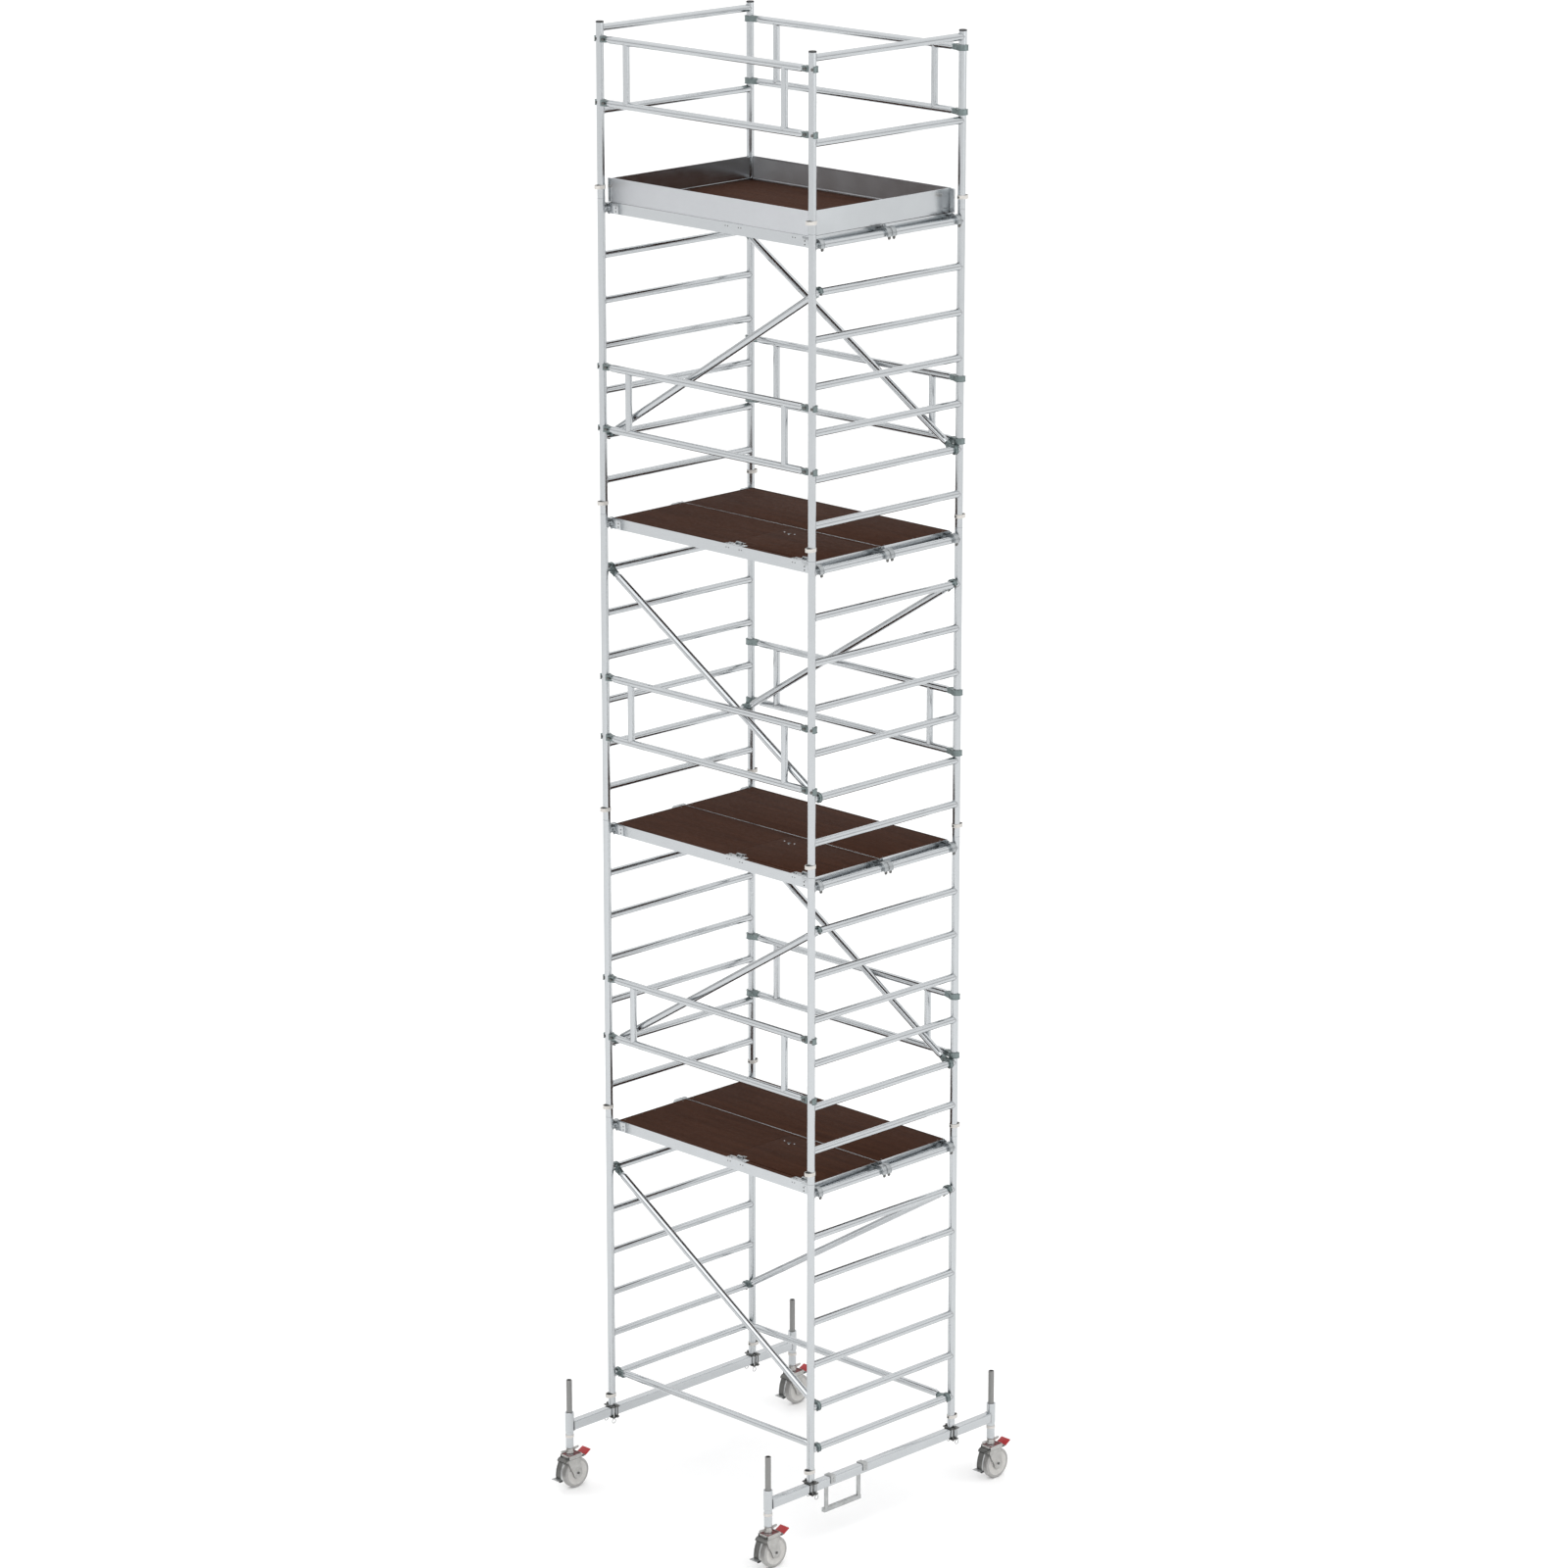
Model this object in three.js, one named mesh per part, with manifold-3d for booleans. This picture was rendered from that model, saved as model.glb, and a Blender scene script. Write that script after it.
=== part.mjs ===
import * as THREE from 'three';
import Module from 'manifold-3d';
import { mergeVertices } from 'three/addons/utils/BufferGeometryUtils.js';

// Mobile access tower of round aluminium tube. Two ladder-like ends, each four ladder frames and a
// guard frame high, stand on two crossbeams with casters on screw legs. Braces, base bars, guard
// rails and four pairs of hook-on decks tie the two ends together.
// Millimetres, Z up, floor at Z = 0, X along the decks, Y along the rungs, front at -Y.

const BAY_LENGTH = 1800;
const POST_SPACING = 1273;
const FIRST_RUNG = 678;
const RUNG_PITCH = 280;
const RUNGS_PER_FRAME = 7;
const FRAME_LEVELS = 4;
const FRAME_HEIGHT = RUNG_PITCH * RUNGS_PER_FRAME;
const RUNG_ABOVE_SEAM = 210;
const FIRST_SEAM = FIRST_RUNG - RUNG_ABOVE_SEAM;
const SLIP = 0.5;
const PIN_RADIUS = 4;
const PIN_SIDES = 8;

const POST_RADIUS = 24.5;
const POST_BORE = 21.2;
const SPIGOT_RADIUS = POST_BORE - SLIP;
const SPIGOT_LENGTH = 130;
const RUNG_RADIUS = 22.5;
const POST_SIDES = 8;
const RUNG_SIDES = 8;

const GUARD_FRAME_HEIGHT = 1076;
const GUARD_FRAME_RAILS = [534, 1033];
const CAP_DEPTH = 30;

const DECK_RUNG_IN_FRAME = 6;
const DECK_HALF_WIDTH = 603;
const DECK_SEAM = 2;
const DECK_END = 858;
const DECK_TOP = 47;
const DECK_BOTTOM = -21;
const BOARD_TOP = 45;
const BOARD_THICKNESS = 12;
const DECK_BEAM = 26;
const HOOK_WIDTH = 36;

const HATCH_FROM = 110;
const HATCH_TO = 828;
const HATCH_HINGES = [205, 770];
const HATCH_INSET = 48;
const HINGE_HEIGHT = 56;
const FINGER_HOLE = [215, -140];

const RAIL_SPACING = 385;
const RAIL_ABOVE_DECK_RUNG = 608;
const TOP_RAIL_ABOVE_DECK_RUNG = 653;
const UPRIGHT_AT = 670;
const RAIL_CLAW_HEIGHT = 35;

const BRACE_LOW_RUNG = 1;
const BRACE_HIGH_RUNG = 5;
const BRACE_LINE = 585;
const BRACE_CLAW_WIDTH = 24;
const BASE_BAR_RISE = 11;

const CLAW_WALL = 11;
const CLAW_REACH = 78;
const LIP_ANGLE = THREE.MathUtils.degToRad(35);
const HOOK_WALL = 18;

const BEAM_TOP = 460;
const BEAM_HEIGHT = 62;
const BEAM_WIDTH = 50;
const LEG_LINE = 1010;
const SLEEVE_RADIUS = 28.5;
const SLEEVE_TOP = 523;
const SLEEVE_BOTTOM = 283;
const NUT_BOTTOM = 239;
const NUT_RADIUS = 25.5;
const NUT_WING_REACH = 76;
const NUT_WING_WIDTH = 12;
const NUT_WING_HEIGHTS = [251, 275];
const FOOT_PLATE = FIRST_SEAM - BEAM_TOP - SLIP;
const FOOT_PLATE_HALF = [48, 31];
const FOOT_STRAP_HALF = [31, 20];
const FOOT_BASE_HALF = [44, 29];
const FOOT_BASE_DROP = 8;
const FOOT_BASE_THICKNESS = 5;

const SPINDLE_RADIUS = 19;
const SPINDLE_TOP = 743;
const FORK_TOP = 238;
const FORK_BOTTOM = 186;
const FORK_HALF_WIDTH = 44;
const FORK_FRONT = -44;
const FORK_BACK = 65;
const FORK_LIP = 5;
const SWIVEL_PIN = 12;
const SWIVEL_PIN_DEPTH = 24;

const WHEEL_RADIUS = 100;
const WHEEL_SIDES = 16;
const WHEEL_HALF_WIDTH = 23;
const WHEEL_DISH = 4;
const WHEEL_TRAIL = 45;
const AXLE_RADIUS = 8;
const CHEEK_INSIDE = 25;
const CHEEK_OUTSIDE = 31;
const CHEEK_ROUND = 37;
const WHEEL_ROOM = 6;
const ROCKER_PIVOT_Y = 8;
const ROCKER_PIVOT_Z = 213;
const ROCKER_INSIDE = 32;
const ROCKER_OUTSIDE = 39;
const ROCKER_BAR_HALF = 8;
const ROCKER_BAR_ENDS = [-62, 100];
const RELEASE_PEDAL = [[82, 209], [104, 206], [149, 234], [145, 240], [100, 216], [82, 216]];
const PEDAL_ARM = [
  [-56, 221], [-56, 206], [-72, 196], [-90, 150], [-96, 92], [-80, 80],
  [-125, 80], [-125, 88], [-108, 96], [-102, 152], [-80, 212],
];

const STEP_LEGS = [-465, -177];
const STEP_LEG_WIDTH = 28;
const STEP_LEG_DEPTH = 12;
const STEP_STRAP_WIDTH = 40;
const STEP_STRAP_DROP = 45;
const STEP_METAL = 5;
const STEP_TREAD_HEIGHT = 218;
const STEP_TREAD = 28;

const TOE_BOARD_TOP = BOARD_TOP + 150;
const TOE_BOARD_THICKNESS = 20;
const TOE_BOARD_HALF = [DECK_END - 8, DECK_HALF_WIDTH - 3];

const wasm = await Module();
wasm.setup();

// Solids: one three.js geometry becomes a closed solid that can be joined and cut.
function solidOf(geometry) {
  const bare = geometry.clone();
  bare.deleteAttribute('normal');
  bare.deleteAttribute('uv');
  const merged = mergeVertices(bare, 1e-4);
  return new wasm.Manifold(new wasm.Mesh({
    numProp: 3,
    vertProperties: Float32Array.from(merged.attributes.position.array),
    triVerts: Uint32Array.from(merged.index.array),
  }));
}

function geometryOf(solid) {
  const mesh = solid.getMesh();
  const geometry = new THREE.BufferGeometry();
  geometry.setAttribute('position', new THREE.BufferAttribute(Float32Array.from(mesh.vertProperties), 3));
  geometry.setIndex(new THREE.BufferAttribute(Uint32Array.from(mesh.triVerts), 1));
  geometry.computeVertexNormals();
  return geometry;
}

function joined(solids) {
  return solids.reduce((whole, piece) => whole.add(piece));
}

function cutBy(solid, tools) {
  return tools.reduce((whole, tool) => whole.subtract(tool), solid);
}

function block(fromX, toX, fromY, toY, fromZ, toZ) {
  const geometry = new THREE.BoxGeometry(toX - fromX, toY - fromY, toZ - fromZ);
  geometry.translate((fromX + toX) / 2, (fromY + toY) / 2, (fromZ + toZ) / 2);
  return solidOf(geometry);
}

function roundBar(start, end, radius, sides) {
  const from = new THREE.Vector3(...start);
  const along = new THREE.Vector3(...end).sub(from);
  const geometry = new THREE.CylinderGeometry(radius, radius, along.length(), sides);
  geometry.translate(0, along.length() / 2, 0);
  const turn = new THREE.Quaternion().setFromUnitVectors(new THREE.Vector3(0, 1, 0), along.normalize());
  geometry.applyQuaternion(turn);
  geometry.translate(from.x, from.y, from.z);
  return solidOf(geometry);
}

function upright(x, y, fromZ, toZ, radius, sides) {
  return roundBar([x, y, fromZ], [x, y, toZ], radius, sides);
}

// Radius of a many-sided hole in which a pin of the given radius can turn all the way round.
function turningRoom(radius, sides) {
  return (radius + SLIP) / Math.cos(Math.PI / sides);
}

function arc(radius, fromDegrees, toDegrees, steps) {
  return Array.from({ length: steps + 1 }, (_, i) => {
    const angle = THREE.MathUtils.degToRad(fromDegrees + ((toDegrees - fromDegrees) * i) / steps);
    return new THREE.Vector2(radius * Math.cos(angle), radius * Math.sin(angle));
  });
}

function vectors(pairs) {
  return pairs.map(([across, up]) => new THREE.Vector2(across, up));
}

// A flat outline in the XZ plane, given thickness along Y and centred on the given Y.
function slabAcrossY(points, width, centreY) {
  const shape = new THREE.Shape(points);
  const geometry = new THREE.ExtrudeGeometry(shape, { depth: width, bevelEnabled: false });
  geometry.translate(0, 0, -width / 2);
  geometry.rotateX(Math.PI / 2);
  geometry.translate(0, centreY, 0);
  return geometry;
}

// A flat outline in the YZ plane, given thickness along X between the two given X values.
function slabAcrossX(points, fromX, toX) {
  const shape = new THREE.Shape(points);
  const geometry = new THREE.ExtrudeGeometry(shape, { depth: toX - fromX, bevelEnabled: false });
  geometry.rotateX(Math.PI / 2);
  geometry.rotateZ(Math.PI / 2);
  geometry.translate(fromX, 0, 0);
  return solidOf(geometry);
}

// Outline of a snap-on claw round a bar at the origin: its mouth opens down, its arm points to +X.
function clawOutline(barRadius, wall, reach) {
  const inside = barRadius + SLIP;
  const outside = inside + wall;
  const armHalf = outside * Math.sin(LIP_ANGLE);
  return [
    ...arc(outside, 215, 35, 4),
    new THREE.Vector2(reach, armHalf),
    new THREE.Vector2(reach, -armHalf),
    new THREE.Vector2(outside * Math.cos(LIP_ANGLE), -armHalf),
    ...arc(inside / Math.cos((Math.PI + 2 * LIP_ANGLE) / 8), -35, 215, 4),
  ];
}

// Two claws a given distance apart along X, with their arms pointing at each other.
function clawPair(distance, barRadius, width, rise) {
  const left = slabAcrossY(clawOutline(barRadius, CLAW_WALL, CLAW_REACH), width, 0);
  const right = left.clone();
  right.rotateZ(Math.PI);
  right.translate(distance, 0, 0);
  const start = [CLAW_REACH - 3, 0, rise];
  const end = [distance - CLAW_REACH + 3, 0, rise];
  return joined([solidOf(left), solidOf(right), roundBar(start, end, RUNG_RADIUS, RUNG_SIDES)]);
}

function ladderFrame() {
  const posts = [];
  const bores = [];
  for (const side of [-1, 1]) {
    const y = (side * POST_SPACING) / 2;
    posts.push(upright(0, y, SLIP, FRAME_HEIGHT, POST_RADIUS, POST_SIDES));
    posts.push(upright(0, y, FRAME_HEIGHT - 20, FRAME_HEIGHT + SPIGOT_LENGTH, SPIGOT_RADIUS, POST_SIDES));
    bores.push(upright(0, y, -10, FRAME_HEIGHT - 60, POST_BORE, POST_SIDES));
  }
  const rungs = [];
  for (let i = 0; i < RUNGS_PER_FRAME; i += 1) {
    const z = RUNG_ABOVE_SEAM + i * RUNG_PITCH;
    rungs.push(roundBar([0, -POST_SPACING / 2, z], [0, POST_SPACING / 2, z], RUNG_RADIUS, RUNG_SIDES));
  }
  return cutBy(joined([...posts, ...rungs]), bores);
}

function guardFrame() {
  const posts = [];
  const bores = [];
  for (const side of [-1, 1]) {
    const y = (side * POST_SPACING) / 2;
    posts.push(upright(0, y, SLIP, GUARD_FRAME_HEIGHT, POST_RADIUS, POST_SIDES));
    bores.push(upright(0, y, -10, GUARD_FRAME_HEIGHT - CAP_DEPTH, POST_BORE, POST_SIDES));
  }
  const rails = GUARD_FRAME_RAILS.map((z) => (
    roundBar([0, -POST_SPACING / 2, z], [0, POST_SPACING / 2, z], RUNG_RADIUS, RUNG_SIDES)));
  return cutBy(joined([...posts, ...rails]), bores);
}

// Crossbeam with the foot stubs the posts stand on, and a leg sleeve with its wing nut at each end.
function crossbeam() {
  const half = BEAM_WIDTH / 2;
  const pieces = [block(-half, half, -LEG_LINE, LEG_LINE, BEAM_TOP - BEAM_HEIGHT, BEAM_TOP)];
  const bores = [];
  for (const side of [-1, 1]) {
    const legY = side * LEG_LINE;
    const postY = (side * POST_SPACING) / 2;
    pieces.push(upright(0, legY, SLEEVE_BOTTOM, SLEEVE_TOP, SLEEVE_RADIUS, POST_SIDES));
    pieces.push(upright(0, legY, NUT_BOTTOM, SLEEVE_BOTTOM + 2, NUT_RADIUS, POST_SIDES));
    pieces.push(block(-NUT_WING_WIDTH / 2, NUT_WING_WIDTH / 2, legY - NUT_WING_REACH, legY + NUT_WING_REACH,
      ...NUT_WING_HEIGHTS));
    const [plateX, plateY] = FOOT_PLATE_HALF;
    pieces.push(block(-plateX, plateX, postY - plateY, postY + plateY, BEAM_TOP - 2, BEAM_TOP + FOOT_PLATE));
    const [strapX, strapY] = FOOT_STRAP_HALF;
    const baseBottom = BEAM_TOP - BEAM_HEIGHT - FOOT_BASE_DROP;
    pieces.push(block(-strapX, strapX, postY - strapY, postY + strapY, baseBottom, BEAM_TOP));
    const [baseX, baseY] = FOOT_BASE_HALF;
    const baseTop = baseBottom + FOOT_BASE_THICKNESS;
    pieces.push(block(-baseX, baseX, postY - baseY, postY + baseY, baseBottom, baseTop));
    pieces.push(upright(0, postY, BEAM_TOP, FIRST_SEAM + SPIGOT_LENGTH, SPIGOT_RADIUS, POST_SIDES));
    bores.push(upright(0, legY, 0, 2 * SLEEVE_TOP, SPINDLE_RADIUS + SLIP, POST_SIDES));
  }
  return cutBy(joined(pieces), bores);
}

function spindle() {
  const screw = upright(0, 0, FORK_TOP + SLIP, SPINDLE_TOP, SPINDLE_RADIUS, POST_SIDES);
  const pin = upright(0, 0, FORK_TOP - SWIVEL_PIN_DEPTH, FORK_TOP + 10, SWIVEL_PIN, POST_SIDES);
  return screw.add(pin);
}

// Caster fork: a pressed housing over the wheel, two cheeks rounded about the axle, and a channel on
// each side in which the brake rocker swings about a cross pin.
function fork() {
  const housing = block(-FORK_HALF_WIDTH, FORK_HALF_WIDTH, FORK_FRONT, FORK_BACK, FORK_BOTTOM, FORK_TOP);
  const axle = new THREE.Vector2(WHEEL_TRAIL, WHEEL_RADIUS);
  const cheekOutline = [
    ...arc(CHEEK_ROUND, 200, 340, 5).map((point) => point.add(axle)),
    ...vectors([
      [FORK_BACK - FORK_LIP, FORK_TOP - FORK_LIP],
      [FORK_FRONT + FORK_LIP, FORK_TOP - FORK_LIP],
      [FORK_FRONT + FORK_LIP, FORK_BOTTOM],
    ]),
  ];
  const channels = [-1, 1].map((side) => {
    const edges = [side * CHEEK_OUTSIDE, side * (FORK_HALF_WIDTH - 4)].sort((a, b) => a - b);
    return block(...edges, FORK_FRONT - 5, FORK_BACK + 5, FORK_BOTTOM + 4, FORK_TOP + 5);
  });
  const axleEnd = CHEEK_OUTSIDE + 6;
  const pivotEnd = FORK_HALF_WIDTH - 1;
  const wheelTop = 190;
  const pinDepth = SWIVEL_PIN_DEPTH + 2;
  const body = cutBy(joined([
    housing,
    slabAcrossX(cheekOutline, -CHEEK_OUTSIDE, CHEEK_OUTSIDE),
  ]), [
    ...channels,
    block(-CHEEK_INSIDE, CHEEK_INSIDE, FORK_FRONT - 9, FORK_BACK + 60, 40, wheelTop),
    roundBar([-CHEEK_INSIDE, WHEEL_TRAIL, WHEEL_RADIUS], [CHEEK_INSIDE, WHEEL_TRAIL, WHEEL_RADIUS],
      WHEEL_RADIUS + WHEEL_ROOM, WHEEL_SIDES),
    upright(0, 0, FORK_TOP - pinDepth, FORK_TOP + 10, turningRoom(SWIVEL_PIN, POST_SIDES), POST_SIDES),
  ]);
  return joined([
    body,
    roundBar([-axleEnd, WHEEL_TRAIL, WHEEL_RADIUS], [axleEnd, WHEEL_TRAIL, WHEEL_RADIUS],
      AXLE_RADIUS, PIN_SIDES),
    roundBar([-pivotEnd, ROCKER_PIVOT_Y, ROCKER_PIVOT_Z], [-CHEEK_INSIDE, ROCKER_PIVOT_Y, ROCKER_PIVOT_Z],
      PIN_RADIUS, PIN_SIDES),
    roundBar([CHEEK_INSIDE, ROCKER_PIVOT_Y, ROCKER_PIVOT_Z], [pivotEnd, ROCKER_PIVOT_Y, ROCKER_PIVOT_Z],
      PIN_RADIUS, PIN_SIDES),
  ]);
}

// Wheel about X: tyre, slightly dished sides and hub, turned so that a flat of the tyre is down.
function wheel() {
  const tyre = WHEEL_RADIUS / Math.cos(Math.PI / WHEEL_SIDES);
  const half = WHEEL_HALF_WIDTH;
  const bore = turningRoom(AXLE_RADIUS, WHEEL_SIDES);
  const side = [
    [bore, half], [16, half], [18, half - WHEEL_DISH],
    [74, half - WHEEL_DISH], [80, half - 1], [tyre, half - 6],
  ];
  const profile = [
    ...side.map(([r, h]) => new THREE.Vector2(r, -h)),
    ...side.slice().reverse().map(([r, h]) => new THREE.Vector2(r, h)),
    new THREE.Vector2(bore, -half),
  ];
  const geometry = new THREE.LatheGeometry(profile, WHEEL_SIDES);
  geometry.rotateY(Math.PI / WHEEL_SIDES);
  geometry.rotateZ(Math.PI / 2);
  return solidOf(geometry);
}

// Brake rocker: two side bars on the cross pin, a release pedal behind, an arm and foot pedal in front.
function brakeRocker() {
  const bars = [-1, 1].map((side) => {
    const edges = [side * ROCKER_INSIDE, side * ROCKER_OUTSIDE].sort((a, b) => a - b);
    const heights = [ROCKER_PIVOT_Z - ROCKER_BAR_HALF, ROCKER_PIVOT_Z + ROCKER_BAR_HALF];
    return block(...edges, ...ROCKER_BAR_ENDS, ...heights);
  });
  const pinHole = roundBar([-60, ROCKER_PIVOT_Y, ROCKER_PIVOT_Z], [60, ROCKER_PIVOT_Y, ROCKER_PIVOT_Z],
    turningRoom(PIN_RADIUS, PIN_SIDES), PIN_SIDES);
  return joined([
    ...bars.map((bar) => cutBy(bar, [pinHole])),
    slabAcrossX(vectors(RELEASE_PEDAL), -ROCKER_OUTSIDE, ROCKER_OUTSIDE),
    slabAcrossX(vectors(PEDAL_ARM), -ROCKER_OUTSIDE + 5, ROCKER_OUTSIDE - 5),
  ]);
}

// One hook-on deck, lying between the centre seam and the front edge: beams, board and four hooks.
function deckFrame() {
  const outer = -DECK_HALF_WIDTH;
  const inner = -DECK_SEAM;
  const whole = block(-DECK_END, DECK_END, outer, inner, DECK_BOTTOM, DECK_TOP);
  const recess = block(-DECK_END + 4, DECK_END - 4, outer + 4, inner - 4, BOARD_TOP, DECK_TOP + 5);
  const hollow = block(-DECK_END + DECK_BEAM, DECK_END - DECK_BEAM, outer + DECK_BEAM, inner - DECK_BEAM,
    DECK_BOTTOM - 5, BOARD_TOP - BOARD_THICKNESS);
  const hooks = [];
  for (const end of [-1, 1]) {
    for (const y of [outer + HOOK_WIDTH / 2, inner - HOOK_WIDTH / 2]) {
      const reach = BAY_LENGTH / 2 - DECK_END + 6;
      const hook = slabAcrossY(clawOutline(RUNG_RADIUS, HOOK_WALL, reach), HOOK_WIDTH, 0);
      if (end > 0) hook.rotateZ(Math.PI);
      hook.translate((end * BAY_LENGTH) / 2, y, 0);
      hooks.push(solidOf(hook));
    }
  }
  return joined([cutBy(whole, [recess, hollow]), ...hooks]);
}

function hingeLugs(x) {
  const axisY = -DECK_HALF_WIDTH + HATCH_INSET;
  const foot = -DECK_HALF_WIDTH + DECK_BEAM - 2;
  return joined([
    block(x - 24, x - 18, foot, axisY + 6, BOARD_TOP - 5, HINGE_HEIGHT + 6),
    block(x + 18, x + 24, foot, axisY + 6, BOARD_TOP - 5, HINGE_HEIGHT + 6),
    roundBar([x - 20, axisY, HINGE_HEIGHT], [x + 20, axisY, HINGE_HEIGHT], PIN_RADIUS, PIN_SIDES),
  ]);
}

function frontDeck() {
  const opening = block(HATCH_FROM, HATCH_TO, -DECK_HALF_WIDTH + HATCH_INSET - 6, -DECK_SEAM - DECK_BEAM + 6,
    DECK_BOTTOM - 5, DECK_TOP + 5);
  return joined([cutBy(deckFrame(), [opening]), ...HATCH_HINGES.map(hingeLugs)]);
}

// Trapdoor panel with a hinge eye at each hinge, hung on the deck's lugs, and a finger hole.
function hatch() {
  const axisY = -DECK_HALF_WIDTH + HATCH_INSET;
  const free = -DECK_SEAM - DECK_BEAM + 5;
  const panel = block(HATCH_FROM + 1, HATCH_TO - 1, axisY + 6, free, BOARD_TOP - BOARD_THICKNESS, BOARD_TOP);
  const eyes = HATCH_HINGES.map((x) => (
    block(x - 17, x + 17, axisY - 5.5, axisY + 40, HINGE_HEIGHT - 11.5, HINGE_HEIGHT + 6.5)));
  const trims = HATCH_HINGES.map((x) => (
    block(x - 20, x + 20, axisY + 8, axisY + 60, BOARD_TOP + 4, HINGE_HEIGHT + 20)));
  const pin = roundBar([HATCH_FROM, axisY, HINGE_HEIGHT], [HATCH_TO, axisY, HINGE_HEIGHT],
    turningRoom(PIN_RADIUS, PIN_SIDES), PIN_SIDES);
  const fingerHole = upright(FINGER_HOLE[0], FINGER_HOLE[1], 0, 90, 16, POST_SIDES);
  return cutBy(joined([panel, ...eyes]), [...trims, pin, fingerHole]);
}

// Guard rail: two rails and two uprights, with a claw round the post at each of the four ends.
function guardRail() {
  const outline = clawOutline(POST_RADIUS, CLAW_WALL, CLAW_REACH);
  const pieces = [];
  for (const z of [0, RAIL_SPACING]) {
    for (const end of [-1, 1]) {
      const claw = new THREE.ExtrudeGeometry(new THREE.Shape(outline), {
        depth: RAIL_CLAW_HEIGHT,
        bevelEnabled: false,
      });
      if (end > 0) claw.rotateY(Math.PI);
      claw.translate((end * BAY_LENGTH) / 2, 0, z - (-end * RAIL_CLAW_HEIGHT) / 2);
      pieces.push(solidOf(claw));
    }
    const start = BAY_LENGTH / 2 - CLAW_REACH + 3;
    pieces.push(roundBar([-start, 0, z], [start, 0, z], RUNG_RADIUS, RUNG_SIDES));
  }
  for (const x of [-UPRIGHT_AT, UPRIGHT_AT]) {
    pieces.push(upright(x, 0, 0, RAIL_SPACING, RUNG_RADIUS - 1.5, RUNG_SIDES));
  }
  return joined(pieces);
}

function brace() {
  const rise = (BRACE_HIGH_RUNG - BRACE_LOW_RUNG) * RUNG_PITCH;
  return clawPair(Math.hypot(BAY_LENGTH, rise), RUNG_RADIUS, BRACE_CLAW_WIDTH, 0);
}

function baseBar() {
  return clawPair(BAY_LENGTH, RUNG_RADIUS, BRACE_CLAW_WIDTH, BASE_BAR_RISE);
}

// Step hung on one crossbeam: two straps hooked over the beam, each with a leg down to a tread bar.
function accessStep() {
  const inside = -BEAM_WIDTH / 2 - SLIP;
  const outside = BEAM_WIDTH / 2 + SLIP;
  const strapTop = BEAM_TOP + SLIP;
  const strapEnd = BEAM_TOP - STEP_STRAP_DROP;
  const top = strapTop + STEP_METAL;
  const treadTop = STEP_TREAD_HEIGHT + STEP_TREAD / 2;
  const strapHalf = STEP_STRAP_WIDTH / 2;
  const legHalf = STEP_LEG_WIDTH / 2;
  const pieces = [];
  for (const y of STEP_LEGS) {
    const strapSides = [y - strapHalf, y + strapHalf];
    pieces.push(block(inside - STEP_METAL, outside + STEP_METAL, ...strapSides, strapTop, top));
    pieces.push(block(outside, outside + STEP_METAL, ...strapSides, strapEnd, top));
    pieces.push(block(inside - STEP_LEG_DEPTH, inside, y - legHalf, y + legHalf, treadTop - 10, top));
  }
  const treadEnds = [STEP_LEGS[0] - strapHalf, STEP_LEGS[1] + strapHalf];
  pieces.push(block(inside - STEP_TREAD, inside, ...treadEnds, treadTop - STEP_TREAD, treadTop));
  return joined(pieces);
}

// Four boards on edge round the top deck, joined at the corners.
function toeBoards() {
  const [longHalf, wideHalf] = TOE_BOARD_HALF;
  const innerLong = longHalf - TOE_BOARD_THICKNESS;
  const innerWide = wideHalf - TOE_BOARD_THICKNESS;
  const ring = block(-longHalf, longHalf, -wideHalf, wideHalf, DECK_TOP + SLIP, TOE_BOARD_TOP);
  return ring.subtract(block(-innerLong, innerLong, -innerWide, innerWide, 0, 2 * TOE_BOARD_TOP));
}

const MATERIALS = {
  aluminium: { color: 0xd0d3d5, roughness: 0.42, metalness: 0.8 },
  decking: { color: 0x3f2b23, roughness: 0.8, metalness: 0 },
  panel: { color: 0xd3d6d9, roughness: 0.5, metalness: 0.6 },
  zinc: { color: 0xa9adad, roughness: 0.45, metalness: 0.85 },
  casting: { color: 0x9aa19f, roughness: 0.55, metalness: 0.8 },
  tread: { color: 0xc9c9c6, roughness: 0.65, metalness: 0 },
  pedal: { color: 0x96191e, roughness: 0.5, metalness: 0.1 },
};

const tower = new THREE.Group();

function place(name, geometry, look, position, turn = [0, 0, 0]) {
  const mesh = new THREE.Mesh(geometry, new THREE.MeshStandardMaterial(MATERIALS[look]));
  mesh.name = name;
  mesh.position.set(...position);
  mesh.rotation.set(...turn);
  tower.add(mesh);
}

const ladderShape = geometryOf(ladderFrame());
const guardFrameShape = geometryOf(guardFrame());
const crossbeamShape = geometryOf(crossbeam());
const spindleShape = geometryOf(spindle());
const forkShape = geometryOf(fork());
const wheelShape = geometryOf(wheel());
const rockerShape = geometryOf(brakeRocker());
const frontDeckShape = geometryOf(frontDeck());
const backDeckShape = geometryOf(deckFrame());
const hatchShape = geometryOf(hatch());
const guardRailShape = geometryOf(guardRail());
const braceShape = geometryOf(brace());
const baseBarShape = geometryOf(baseBar());

const halfTurn = [0, 0, Math.PI];
const half = BAY_LENGTH / 2;

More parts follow.
